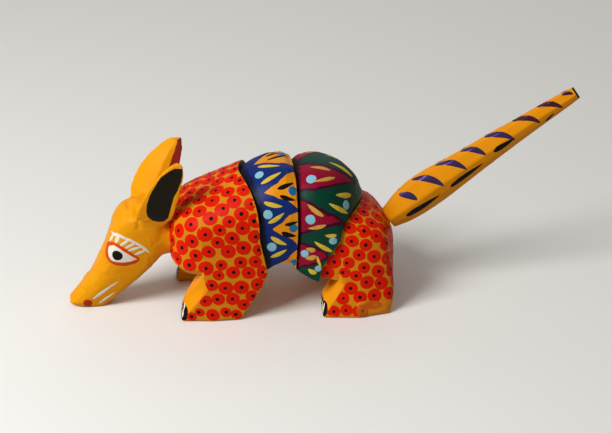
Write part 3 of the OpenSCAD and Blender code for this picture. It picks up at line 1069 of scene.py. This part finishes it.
class Skin:
    """A carved surface to put paint on, with the body and the slot of that paint."""

    def __init__(self, piece, rides_on=None, slot=None):
        self.piece = piece
        self.rides_on = rides_on
        self.slot = slot
        self.tree = surface_of(piece)
        self.places = vertex_places(piece)
        self.normals = vertex_normals(piece)

    def nearest(self, point):
        place, normal, _, _ = self.tree.find_nearest(Vector(point))
        return np.array(place), np.array(normal)

    def steady_normal(self, point, reach):
        """The normal averaged over a small patch, so that one facet doesn't tilt a dab."""
        close = np.sum((self.places - point) ** 2, 1) < reach ** 2
        if not close.any():
            return self.nearest(point)[1]
        way = self.normals[close].sum(0)
        return way / np.linalg.norm(way)

    def seen_at(self, pixel):
        """The point of the surface that the camera sees at a pixel of the photograph's frame."""
        back, right, up = camera_axes()
        focal = CAMERA_LENS / SENSOR * FRAME_SIZE[0]
        way = right * (pixel[0] - FRAME_SIZE[0] / 2) - up * (pixel[1] - FRAME_SIZE[1] / 2) - back * focal
        eye = CAMERA_TARGET + back * CAMERA_AWAY
        place, _, _, _ = self.tree.ray_cast(Vector(eye), Vector(way).normalized())
        if place is None:
            steps = np.linspace(CAMERA_AWAY - 90, CAMERA_AWAY + 90, 181)
            line = eye + np.outer(steps, way / np.linalg.norm(way))
            gaps = [self.tree.find_nearest(Vector(p))[3] for p in line]
            return np.array(self.tree.find_nearest(Vector(line[int(np.argmin(gaps))]))[0])
        return np.array(place)


def camera_axes():
    """The directions from what it looks at to the camera, to its right and upwards."""
    level = math.cos(CAMERA_HIGH)
    back = np.array([math.sin(CAMERA_ROUND) * level, -math.cos(CAMERA_ROUND) * level, math.sin(CAMERA_HIGH)])
    right = np.array([math.cos(CAMERA_ROUND), math.sin(CAMERA_ROUND), 0.0])
    return back, right, np.cross(back, right)


def seen(skin, points):
    return [skin.seen_at(p) for p in points]


def stroke(skin, start, end, width, **more):
    """A brush stroke between two points on a skin."""
    start = np.asarray(start)
    end = np.asarray(end)
    middle, _ = skin.nearest((start + end) / 2)
    way = end - start
    length = np.linalg.norm(way)
    facing = skin.steady_normal(middle, max(1.2, length * 0.3))
    way = way - facing * (way @ facing)
    way /= np.linalg.norm(way)
    return {"at": middle, "along": way, "facing": facing, "length": length, "width": width, **more}


def spot(skin, at, size, **more):
    """A round dab on a skin."""
    middle, _ = skin.nearest(at)
    facing = skin.steady_normal(middle, max(0.9, size * 0.4))
    side = np.cross(facing, [0.3, 0.9, 0.31])
    side = side / np.linalg.norm(side)
    return {"at": middle, "along": side, "facing": facing, "length": size, "width": size, **more}


def both_sides(dabs, skin):
    """The same dabs on the other side of the middle plane too, set on the skin there."""
    flip = np.array([1, -1, 1])
    found = list(dabs)
    for d in dabs:
        other = dict(d)
        other["at"] = skin.nearest(np.asarray(d["at"]) * flip)[0]
        other["along"] = np.asarray(d["along"]) * flip
        other["facing"] = np.asarray(d["facing"]) * flip
        other["bend"] = -d.get("bend", 0.0)
        found.append(other)
    return found


# A film of paint: points round it, shares of its rings, and in mm its crown and how deep its back lies
FILM_POINTS = 60
FILM_SHARES = (1.0, 0.9, 0.75, 0.6, 0.45, 0.3, 0.15)
FILM_CROWN = 0.03
FILM_BACK = -0.08


def painted_patch(name, outline, skin, paint, lift, mirrored=True):
    """A closed film of paint inside an outline of points on a skin, and its twin on the other side."""
    points = []
    faces = []
    ring = np.asarray(outline)
    ring = evenly(np.concatenate([ring, ring[:1]]), FILM_POINTS)
    middle = ring.mean(0)
    rings = [(middle + (ring - middle) * share, min(1.0, (1 - share) * 8)) for share in FILM_SHARES]
    rings.append((middle[None], 1.0))
    last = FILM_POINTS * (len(FILM_SHARES) - 1)
    made = ring_faces(len(FILM_SHARES), FILM_POINTS) + fan(last, last + FILM_POINTS, FILM_POINTS)
    for flip in ((1, -1) if mirrored else (1,)):
        for layer in (1, -1):
            first = len(points)
            for places, full in rings:
                rise = lift + FILM_CROWN * full if layer > 0 else FILM_BACK * full
                for p in places:
                    place, normal = skin.nearest(p * [1, flip, 1])
                    points.append(place + normal * (rise if full > 0 else 0.0))
            for face in made:
                shifted = tuple(first + v for v in face)
                faces.append(shifted if layer * flip > 0 else shifted[::-1])
    piece = make_object(name, points, faces)
    with opened(piece.data) as bm:
        bmesh.ops.remove_doubles(bm, verts=bm.verts, dist=0.000002)
    turn_outwards(piece)
    piece.data.materials.append(paint)
    dress(piece, skin.rides_on, skin.slot)


# Making the carving

body, band_grids, body_marks = carve_body()
carved = knife_facets(body, 6.0, 0.35, 11)
carved[:, 2] = np.maximum(carved[:, 2], 0.0)
move_vertices(body, carved)
for polygon in body.data.polygons:
    if polygon.material_index == CLAWS and polygon.center.z > CLAW_TOP * MM:
        polygon.material_index = PLAIN
for paint in (SHELL_AMBER, BLUE_BAND, GREEN_BAND, ORANGE, CLAW_BLACK, RIM_PAINT_AND_SHADE):
    body.data.materials.append(paint)

# Triangles of the bands: each has two edges, in shares across the band and in mm round it from the ridge
FRONT_TRIANGLES = [
    ([(0.28, 0.0), (0.42, -3.8), (0.57, -6.6), (1.0, -10.5)], [(0.28, 0.0), (0.69, 3.2), (1.0, 2.9)]),
    ([(0.25, 15.1), (0.57, 13.6), (1.0, 6.9)], [(0.25, 15.1), (0.52, 18.6), (1.0, 21.4)]),
    ([(0.32, 28.7), (0.56, 27.5), (1.0, 22.4)], [(0.32, 28.7), (0.55, 31.8), (1.0, 35.0)]),
    ([(0.36, 43.0), (0.69, 41.7), (1.0, 36.6)], [(0.36, 43.0), (0.69, 49.0), (1.0, 54.0)]),
]
REAR_TRIANGLES = [
    ([(0.0, -0.6), (0.22, 3.2), (0.44, 5.6), (0.61, 6.4), (0.83, 5.3)],
     [(0.0, 13.4), (0.34, 16.5), (0.53, 15.0), (0.67, 11.5), (0.83, 5.3)]),
    ([(0.0, 16.0), (0.23, 20.2), (0.44, 23.3), (0.64, 24.4), (0.97, 21.4)],
     [(0.0, 29.0), (0.30, 30.9), (0.52, 30.3), (0.72, 27.1), (0.97, 21.4)]),
    ([(0.0, 32.4), (0.33, 37.0), (0.58, 38.4), (0.96, 35.4)],
     [(0.0, 43.0), (0.45, 45.0), (0.68, 42.9), (0.82, 39.5), (0.96, 35.4)]),
]
FRONT_SHIFT = 5.0
REAR_SHIFT = 2.0
# Rough depth of a band in mm, and the share of a distance round it that is square to a triangle's edge
BAND_DEPTH = 18
EDGE_SLANT = 0.7
FAR_OUTSIDE = -9.0


def other_side(triangles, shift):
    found = []
    for upper, lower in triangles:
        found.append(([(v, -r - shift) for v, r in lower], [(v, -r - shift) for v, r in upper]))
    return found


def triangle_edge(triangles):
    """For each vertex, how far it lies inside the nearest triangle's edge, in mm; outside it is negative."""
    across = body_marks["across"]
    run = body_marks["round"]
    best = np.full(len(across), FAR_OUTSIDE)
    for upper, lower in triangles:
        low = np.interp(across, *zip(*upper))
        high = np.interp(across, *zip(*lower))
        inside = np.minimum(run - low, high - run) * EDGE_SLANT
        from_tip = np.minimum(across - upper[0][0], upper[-1][0] - across) * BAND_DEPTH
        best = np.maximum(best, np.where(from_tip < 0, np.minimum(inside, from_tip), inside))
    return best


front_edge = triangle_edge(FRONT_TRIANGLES + other_side(FRONT_TRIANGLES[1:], FRONT_SHIFT))
rear_edge = triangle_edge(REAR_TRIANGLES + other_side(REAR_TRIANGLES, REAR_SHIFT))
add_attribute(body.data, "across", body_marks["across"])
add_attribute(body.data, "triangle_edge", np.where(body_marks["stretch"] == FRONT, front_edge, rear_edge))
body_zone = np.array([p.material_index for p in body.data.polygons])
body_middles = np.array([p.center for p in body.data.polygons]) / MM
body_areas = np.array([p.area for p in body.data.polygons]) / MM ** 2
body_tilts = np.array([p.normal.z for p in body.data.polygons])
bore(body, -PEG_DEPTH, 3.0)
dress(body, "figure", "painted_body", "body")
body_skin = Skin(body, "figure", "painted_body")

head, sawn_ears = carve_head()
head.data.materials.append(HEAD_ORANGE)
dress(head, "figure", "painted_head", "head")
head_skin = Skin(head, "figure", "painted_head")


def outline_depth(places, outline):
    """Distance in mm from a closed flat outline; inside it is positive."""
    first = np.asarray(outline)
    second = np.roll(first, -1, 0)
    side = second - first
    rel = places[:, None] - first[None]
    share = np.clip((rel * side).sum(2) / (side ** 2).sum(1), 0, 1)
    gap = np.linalg.norm(rel - share[:, :, None] * side, axis=2).min(1)
    level = places[:, None, 1]
    spans = (first[:, 1] > level) != (second[:, 1] > level)
    rise = np.where(side[:, 1] == 0, 1e-9, side[:, 1])
    cross = first[:, 0] + (level - first[:, 1]) * side[:, 0] / rise
    inside = (spans & (places[:, None, 0] < cross)).sum(1) % 2 == 1
    return np.where(inside, gap, -gap)


# The black face of the near ear, as the camera sees it
EAR_FACE = [
    (175.0, 168.7), (183.0, 168.2), (182.7, 173.3), (181.3, 181.7), (177.5, 190.8), (174.2, 196.7),
    (172.0, 203.3), (170.3, 210.8), (168.0, 218.3), (163.7, 221.7), (158.3, 222.0), (152.5, 220.7),
    (147.5, 216.7), (146.3, 211.7), (146.7, 205.0), (148.7, 198.3), (151.3, 192.5), (155.3, 185.8),
    (160.8, 177.4), (166.7, 172.9)]
near_ear = Skin(sawn_ears["ear_left"])
ear_outline = np.array(seen(near_ear, EAR_FACE))[:, [0, 2]]
# An ear's painted back: the way it faces, how nearly, how high it starts, and how sharp its edge is
EAR_BACK_WAY = (0.885, 0.466)
EAR_BACK_TILT = 0.72
EAR_BACK_FROM = 38
EAR_BACK_SHARP = 3
EAR_FACE_TILT = 0.4
NOT_THERE = -5.0
for name, side in EARS:
    ear = sawn_ears[name]
    places = vertex_places(ear)
    normals = vertex_normals(ear)
    depth = outline_depth(places[:, [0, 2]], ear_outline)
    add_attribute(ear.data, "ear_face_edge", np.where(normals[:, 1] * side > EAR_FACE_TILT, depth, NOT_THERE))
    rearwards = normals @ [EAR_BACK_WAY[0], -side * EAR_BACK_WAY[1], 0]
    back = (rearwards - EAR_BACK_TILT) * EAR_BACK_SHARP
    add_attribute(ear.data, "ear_back_edge", np.where(places[:, 2] > EAR_BACK_FROM, back, NOT_THERE))
    ear.data.materials.append(EAR_PAINT)
    dress(ear, "figure", "painted_ear", name)

tail = carve_tail()
move_vertices(tail, knife_facets(tail, 7.0, 0.3, 21))
tail.data.materials.append(ORANGE)
tail.data.materials.append(TIP_BLACK)
for polygon in tail.data.polygons:
    if (np.array(polygon.center) / MM - TAIL_SEAT) @ TAIL_ALONG > TAIL_LENGTH - TAIL_TIP:
        polygon.material_index = 1
bore(tail, -1.0, PEG_DEPTH)
dress(tail, "tail", "painted_tail", "tail")
tail_skin = Skin(tail, "tail", "painted_tail")

for name in ("neck_dowel", "tail_dowel", "ear_peg_left", "ear_peg_right"):
    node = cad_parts[name]
    node.data.materials.clear()
    node.data.materials.append(BARE_WOOD)


# Red dots on the shell

# How far a dot's middle stays inside the dotted faces, and the share of a square of the pitch that a dot has
DOT_INSIDE = 1.3
DOT_SHARE = 0.866
# Rounds in which the dots even out and then push apart, and how hard they push
EVENING_ROUNDS = 30
PUSHING_ROUNDS = 60
PUSH = 0.25
NOT_ITSELF = 99
# Dots lie on faces that don't tilt further down than the first; those beyond the second can't carry any
DOTTED_TILT = -0.3
UNDERSIDE_TILT = -0.6


def spread_dots(chosen, pitch, seed):
    """Nearly even places over some faces: the dots push each other apart as a painter spaces them."""
    random = np.random.default_rng(seed)
    places = body_middles[chosen]
    weights = body_areas[chosen]
    count = int(weights.sum() / (DOT_SHARE * pitch ** 2))
    first = places[random.integers(len(places))]
    gaps = np.sum((places - first) ** 2, 1)
    centres = [first]
    while len(centres) < count:
        centres.append(places[gaps.argmax()])
        gaps = np.minimum(gaps, np.sum((places - centres[-1]) ** 2, 1))
    centres = np.array(centres)
    for _ in range(EVENING_ROUNDS):
        near = np.zeros(len(places), int)
        for start in range(0, len(places), BATCH):
            part = slice(start, start + BATCH)
            near[part] = np.argmin(np.sum((places[part][:, None] - centres[None]) ** 2, 2), 1)
        total = np.bincount(near, weights, count)
        for axis in range(3):
            mean = np.bincount(near, weights * places[:, axis], count) / np.maximum(total, 1e-9)
            centres[:, axis] = np.where(total > 0, mean, centres[:, axis])
    border = KDTree(len(body_middles) - len(chosen))
    for number, place in enumerate(np.delete(body_middles, chosen, 0)):
        border.insert(place, number)
    border.balance()
    inner = places[[border.find(place)[2] > DOT_INSIDE for place in places]]
    for _ in range(PUSHING_ROUNDS):
        gaps = centres[:, None] - centres[None]
        apart = np.linalg.norm(gaps, axis=2) + NOT_ITSELF * np.eye(count)
        push = np.clip(pitch - apart, 0, None) / apart
        wanted = centres + PUSH * (push[:, :, None] * gaps).sum(1)
        centres = inner[[np.sum((inner - at) ** 2, 1).argmin() for at in wanted]]
    return centres


def dotted_faces(piece):
    """A copy of a piece with only the faces that carry dots, so that a dot stops at a rim."""
    copy = add_to_scene("dotted_faces", piece.data.copy())
    with opened(copy.data) as bm:
        other = [f for f in bm.faces if f.material_index != SHELL or f.normal.z < UNDERSIDE_TILT]
        bmesh.ops.delete(bm, geom=other, context="FACES")
    return copy


# The heel of the near hind foot, where the paint is wiped
WIPED_HEEL = [
    (356.2, 304.0), (358.5, 301.7), (364.0, 301.0), (372.0, 300.9), (380.0, 301.0), (386.0, 301.7),
    (389.8, 303.5), (390.0, 307.0), (387.6, 310.2), (382.0, 311.6), (374.0, 312.9), (366.0, 314.2),
    (359.5, 315.2), (357.0, 312.0)]
wiped = np.array(seen(body_skin, WIPED_HEEL))
random = np.random.default_rng(3)
shell_skin = Skin(dotted_faces(body), "figure", "painted_body")
dots = []
pips = []
# For each dotted stretch: its start and end, the dots' pitch, their least and largest size,
# the same for the black centres, and a seed
DOTTED = ((-60.0, -20.0, 5.4, 5.5, 6.1, 1.1, 1.5, 4), (-6.0, 30.0, 5.25, 5.3, 5.9, 1.1, 1.5, 9))
# A dot may be this much larger than the room it has
CROWDING = 1.14
# No dots lie where the tail and the neck sit: middle and reach
SEATS = ((TAIL_SEAT, 4.5), (np.array([NECK_X, 0, NECK_Z]), 9.5))
for x_start, x_end, pitch, small, large, pip_small, pip_large, seed in DOTTED:
    x = body_middles[:, 0]
    chosen = (body_zone == SHELL) & (body_tilts > DOTTED_TILT) & (x > x_start) & (x < x_end)
    centres = spread_dots(np.flatnonzero(chosen), pitch, seed)
    apart = np.linalg.norm(centres[:, None] - centres[None], axis=2) + NOT_ITSELF * np.eye(len(centres))
    for at, room in zip(centres, apart.min(1)):
        if any(np.linalg.norm(at - seat) < reach for seat, reach in SEATS):
            continue
        if at[1] < 0 and outline_depth(at[None, [0, 2]], wiped[:, [0, 2]])[0] > 0.9:
            continue
        dab = spot(shell_skin, at, min(random.uniform(small, large), room * CROWDING))
        dab["width"] *= random.uniform(0.88, 1.0)
        dots.append(dab)
        shift = np.append(random.normal(0, 0.25, 2), 0.0)
        pips.append(spot(shell_skin, dab["at"] + shift, random.uniform(pip_small, pip_large)))
lay_dabs("red_dots", dots, shell_skin, RED, lift=0.05, wobble=0.4, lens=DOT_LENS, drop=0.9)
lay_dabs("dot_centres", pips, shell_skin, BLACK, lift=0.11, lens=PIP_LENS)
bpy.data.objects.remove(shell_skin.piece)


# Strokes and dots on the bands

def on_band(name, across, run):
    """The point of a band at a share across it and a distance round it from the ridge."""
    shares, runs, rings = band_grids[name]
    found = []
    at = np.interp(across, shares, np.arange(len(shares)))
    low = int(min(math.floor(at), len(shares) - 2))
    for row in (low, low + 1):
        order = np.argsort(runs[row])
        found.append(np.array([np.interp(run, runs[row][order], rings[row][order][:, k]) for k in range(3)]))
    return found[0] + (found[1] - found[0]) * (at - low)


def band_strokes(name, ends, shift, width, **more):
    """Strokes on a band, each from one share and distance to another, and their twins on the far side."""
    found = []
    for v0, r0, v1, r1 in ends:
        for a, b in ((r0, r1), (-r0 - shift, -r1 - shift)):
            start = on_band(name, v0, a)
            end = on_band(name, v1, b)
            found.append(stroke(body_skin, start, end, width * random.uniform(0.85, 1.1), **more))
    return found


def band_spots(name, places, shift):
    """Round dabs on a band, each by share across, distance round and size, and their far-side twins."""
    found = []
    for v, r, size in places:
        for run in (r, -r - shift):
            found.append(spot(body_skin, on_band(name, v, run), size * random.uniform(0.95, 1.05)))
    return found


pale_spots = band_spots("front", [(0.30, 7.4, 3.2), (0.24, 22.7, 3.2), (0.26, 35.0, 3.2)], FRONT_SHIFT)
pale_spots += band_spots("rear", [
    (0.25, 11.7, 3.5), (0.30, 26.7, 3.4), (0.25, 39.3, 2.7),
    (0.88, 16.1, 3.3), (0.81, 31.5, 2.8), (0.84, 42.6, 2.3)], REAR_SHIFT)
lay_dabs("pale_dots", pale_spots, body_skin, PALE_BLUE, wobble=0.4, lens=ROUND_LENS)
mid_spots = band_spots("front", [(0.89, 16.0, 3.2), (0.86, 29.3, 3.1), (0.91, 42.4, 2.8)], FRONT_SHIFT)
mid_spots.append(spot(body_skin, body_skin.seen_at((281.5, 153.8)), 3.2))
lay_dabs("blue_dots", mid_spots, body_skin, MID_BLUE, wobble=0.4, lens=ROUND_LENS)
yellow = band_strokes("front", [
    (0.33, 2.8, 0.71, 5.4), (0.26, 11.6, 0.70, 9.0), (0.20, 18.1, 0.61, 21.7), (0.23, 25.7, 0.64, 24.0),
    (0.28, 31.1, 0.68, 36.0), (0.16, 38.2, 0.67, 37.8)], FRONT_SHIFT, 1.6, taper=0.25, point=0.2, bend=0.25)
yellow += band_strokes("rear", [
    (0.44, 2.2, 0.77, 3.6), (0.67, 16.7, 0.87, 11.3), (0.61, 20.7, 0.96, 17.3), (0.62, 32.0, 0.87, 28.0),
    (0.42, 35.3, 0.96, 32.6), (0.48, 46.2, 0.82, 45.0)], REAR_SHIFT, 1.8, taper=-0.25, point=0.2, bend=0.25)
yellow += band_strokes("rear", [(0.62, 40.4, 0.92, 40.2)], REAR_SHIFT, 0.9)
lay_dabs("yellow_strokes", yellow, body_skin, YELLOW)
gold = band_strokes("rear", [
    (0.22, 5.3, 0.48, 7.4), (0.31, 13.3, 0.57, 10.3), (0.23, 20.7, 0.57, 25.5), (0.26, 29.7, 0.63, 28.1),
    (0.26, 37.4, 0.52, 38.6), (0.31, 41.6, 0.60, 40.6)], REAR_SHIFT, 1.6, taper=-0.2, point=0.2, bend=0.2)
lay_dabs("gold_strokes", gold, body_skin, GOLD)
leaves = band_strokes("front", [
    (0.55, 15.5, 0.93, 12.6), (0.57, 17.9, 0.93, 19.0), (0.64, 28.3, 0.97, 26.1), (0.55, 30.9, 0.92, 31.9)],
    FRONT_SHIFT, 1.65, taper=0.3, point=0.2, bend=0.2)
for ends in (((267.0, 160.4), (289.0, 157.2)), ((266.0, 156.8), (278.4, 152.8))):
    leaves.append(stroke(body_skin, *seen(body_skin, ends), 1.5, point=0.2))
lay_dabs("black_leaves", leaves, body_skin, BLACK)


# Face, claws, heel and tail

EYE_RIM = [
    (107.9, 241.1), (114.3, 241.8), (119.3, 244.6), (125.7, 248.9), (132.9, 253.6), (139.6, 257.9),
    (139.6, 260.7), (135.0, 263.6), (125.7, 265.9), (116.4, 265.4), (109.3, 262.1), (105.7, 256.4),
    (105.4, 249.3), (106.4, 244.3)]
painted_patch("eye_rims", seen(head_skin, EYE_RIM), head_skin, LID_RED, lift=0.1)
EYE_WHITE = [
    (109.6, 245.4), (114.3, 244.6), (119.3, 247.9), (125.7, 252.1), (132.1, 256.1), (138.2, 259.3),
    (135.0, 260.4), (127.1, 262.5), (118.6, 262.5), (111.4, 260.7), (108.9, 257.1), (107.9, 250.7),
    (108.6, 246.4)]
painted_patch("eye_whites", seen(head_skin, EYE_WHITE), head_skin, WHITE, lift=0.26)
pupils = both_sides([spot(head_skin, head_skin.seen_at((117.4, 255.2)), 3.8)], head_skin)
lay_dabs("pupils", pupils, head_skin, BLACK, lift=0.34, wobble=0.15, lens=(24, 6))
brow = [
    (112.1, 231.4), (116.4, 233.2), (123.6, 237.1), (129.3, 239.6),
    (135.0, 242.5), (140.7, 245.7), (146.4, 249.3), (148.9, 252.1)]
lashes = [
    ((113.9, 233.9), (109.6, 240.7), 1.0), ((118.9, 236.4), (115.7, 242.5), 1.3),
    ((128.6, 240.4), (120.7, 245.4), 1.1), ((134.6, 243.6), (125.7, 248.2), 1.1),
    ((140.4, 247.3), (128.9, 250.6), 1.05), ((145.0, 250.7), (135.0, 254.5), 1.0)]
lashes += [(a, b, 0.95) for a, b in zip(brow, brow[2:])]
whiskers = [((92.6, 299.3), (118.8, 281.1), 1.15), ((99.2, 303.2), (115.4, 291.9), 0.9)]
# How much longer at each end and how much wider the lashes are brushed
LASH_LONGER = 0.08
LASH_WIDER = 1.1
white_dabs = []
for start, end, width in lashes:
    longer = LASH_LONGER * (np.array(end) - start)
    ends = seen(head_skin, (start - longer, end + longer))
    white_dabs.append(stroke(head_skin, *ends, width * LASH_WIDER, point=0.2))
for start, end, width in whiskers:
    white_dabs.append(stroke(head_skin, *seen(head_skin, (start, end)), width, point=0.1, taper=0.5))
lay_dabs("lashes_and_whiskers", both_sides(white_dabs, head_skin), head_skin, WHITE)
nostrils = both_sides([spot(head_skin, head_skin.seen_at((87.7, 303.1)), 3.2)], head_skin)
lay_dabs("nostrils", nostrils, head_skin, NOSTRIL_RED, lens=(20, 6))
# Black paint that wraps round the toes' outer edges, and the white lines on it
toe_edges = [((-50.4, -15.4, 4.6), (-51.2, -18.7, 0.4), 4.2), ((-1.7, -17.7, 4.4), (-2.1, -21.9, 0.4), 4.0)]
toe_paint = [stroke(body_skin, top, low, width, point=0.1) for top, low, width in toe_edges]
lay_dabs("toe_edges", both_sides(toe_paint, body_skin), body_skin, CLAW_BLACK, lift=0.09)
claw_lines = [
    ((185.2, 303.0), (184.5, 309.0)), ((184.4, 308.0), (182.4, 315.2)), ((183.8, 312.5), (182.5, 317.5)),
    ((321.2, 298.8), (320.6, 310.0)), ((323.1, 301.2), (322.5, 313.8)), ((325.0, 302.5), (323.1, 315.0))]
claw_ends = [seen(body_skin, ends) for ends in claw_lines]
# Lines on the toes' fronts, which the photograph hardly shows
claw_ends += [
    ((-51.0, -12.3, 4.3), (-51.9, -12.6, 0.6)), ((-51.0, -14.6, 4.3), (-51.9, -15.0, 0.6)),
    ((-2.0, -15.2, 4.3), (-2.6, -15.6, 0.6)), ((-2.0, -17.6, 4.3), (-2.6, -18.2, 0.6))]
claw_dabs = [stroke(body_skin, start, end, 0.7, point=0.2) for start, end in claw_ends]
# What is left of the dots where the heel is wiped
painted_patch("wiped_heel", wiped, body_skin, WIPED_ORANGE, lift=0.18, mirrored=False)
ghost = body_skin.seen_at((362.3, 310.6))
smears = [spot(body_skin, ghost, 4.4)]
smears.append(stroke(body_skin, *seen(body_skin, ((364.5, 304.2), (381.5, 304.8))), 3.0))
lay_dabs("smears", smears, body_skin, WIPED_RED, lift=0.24, wobble=0.6, lens=ROUND_LENS)
lay_dabs("wiped_centre", [spot(body_skin, ghost, 1.2)], body_skin, WIPED_BLACK, lift=0.3, lens=PIP_LENS)
lay_dabs("claw_lines", both_sides(claw_dabs, body_skin), body_skin, WHITE, lift=0.17)


def on_tail(along, up, side):
    return TAIL_SEAT + TAIL_ALONG * along + TAIL_UP * up + np.array([0.0, side, 0.0])


def tail_size(along):
    """The tail's half height, half width and rise at a distance from its seat."""
    rows = np.array(TAIL)
    return [np.interp(along / TAIL_LENGTH, rows[:, 0], rows[:, k]) for k in (1, 2, 3)]


# Stripes over the tail's back: start on top, end on the side, height of that end, width
STRIPES = [
    (8.4, 12.9, 1.9, 2.5), (14.8, 23.4, 1.3, 2.5), (24.4, 33.2, 1.6, 2.3), (34.5, 41.6, 1.8, 2.1),
    (44.2, 52.7, 0.2, 2.2), (55.4, 63.4, 0.0, 2.0), (65.3, 72.6, -0.2, 1.9), (74.6, 78.2, 1.6, 1.3)]
VIOLET_STRIPES = 5
# Long strokes on the tail's sides: start, its height, end, its height, width
SIDE_STROKES = [
    (6.2, -1.9, 20.2, -2.0, 2.3), (25.0, -1.7, 39.0, -1.2, 1.9),
    (44.3, 0.4, 53.2, 0.0, 2.0), (65.2, -2.2, 69.0, -0.7, 1.1)]
stripes = {"violet": [], "plum": [], "black": []}
for side in (-1, 1):
    for number, (first, last, low, width) in enumerate(STRIPES):
        high, wide, rise = tail_size(first)
        start = on_tail(first, rise + high, side * wide * (0.35 if number in (0, 7) else 0.1 + 0.4 * side))
        end = on_tail(last, low, side * tail_size(last)[1])
        made = stroke(tail_skin, start, end, width, point=0.15, bend=side * 0.13 * (last - first))
        stripes["violet" if number < VIOLET_STRIPES else "plum"].append(made)
    for first, first_up, last, last_up, width in SIDE_STROKES:
        start = on_tail(first, first_up, side * tail_size(first)[1])
        end = on_tail(last, last_up, side * tail_size(last)[1])
        stripes["black"].append(stroke(tail_skin, start, end, width, taper=0.5))
lay_dabs("violet_strokes", stripes["violet"], tail_skin, VIOLET, drop=3.0)
lay_dabs("plum_strokes", stripes["plum"], tail_skin, PLUM, drop=3.0)
lay_dabs("black_tail_strokes", stripes["black"], tail_skin, BLACK, drop=3.0)


# Floor, light and camera

FLOOR_REACH = 2500
FLOOR_Z = -0.25
# Lamps: name, place and size in metres, power
LAMPS = (("key_light", (-0.5, -0.3, 0.54), 0.36, 5.0), ("back_light", (0.2, 0.75, 0.5), 0.8, 0.9))
LAMP_TARGET = Vector((0, 0, 0.02))


def aim(holder, place, way):
    holder.location = place
    holder.rotation_euler = Vector(way).to_track_quat("-Z", "Y").to_euler()


def make_stage():
    corners = [(x * FLOOR_REACH, y * FLOOR_REACH, FLOOR_Z) for x, y in ((-1, -1), (1, -1), (1, 1), (-1, 1))]
    floor = make_object("floor", corners, [(0, 1, 2, 3)])
    material = bpy.data.materials.new("pale_floor")
    material.use_nodes = True
    tree = material.node_tree
    shader = tree.nodes["Principled BSDF"]
    ray = put(tree, "ShaderNodeLightPath").outputs
    looked_at = arith(tree, "MAXIMUM", ray["Is Camera Ray"], ray["Is Glossy Ray"])
    looked_at = arith(tree, "MAXIMUM", looked_at, ray["Is Transmission Ray"])
    shade = blend(tree, looked_at, colour(186, 180, 168), colour(250, 249, 245))
    tree.links.new(shade, shader.inputs["Base Color"])
    shader.inputs["Roughness"].default_value = 0.9
    floor.data.materials.append(material)
    floor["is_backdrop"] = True
    world = bpy.data.worlds.new("studio")
    bpy.context.scene.world = world
    world.use_nodes = True
    background = world.node_tree.nodes["Background"].inputs
    background["Color"].default_value = colour(240, 238, 232)
    background["Strength"].default_value = 0.27
    for name, place, size, power in LAMPS:
        lamp = bpy.data.lights.new(name, "AREA")
        lamp.size = size
        lamp.energy = power
        aim(add_to_scene(name, lamp), place, LAMP_TARGET - Vector(place))


def make_camera():
    back, _, _ = camera_axes()
    data = bpy.data.cameras.new("camera")
    data.lens = CAMERA_LENS
    data.sensor_width = SENSOR
    data.clip_start = 0.01
    holder = add_to_scene("camera", data)
    aim(holder, (CAMERA_TARGET + back * CAMERA_AWAY) * MM, -back)
    bpy.context.scene.camera = holder


make_stage()
make_camera()
bpy.context.scene.view_settings.view_transform = "Standard"
low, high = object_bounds()
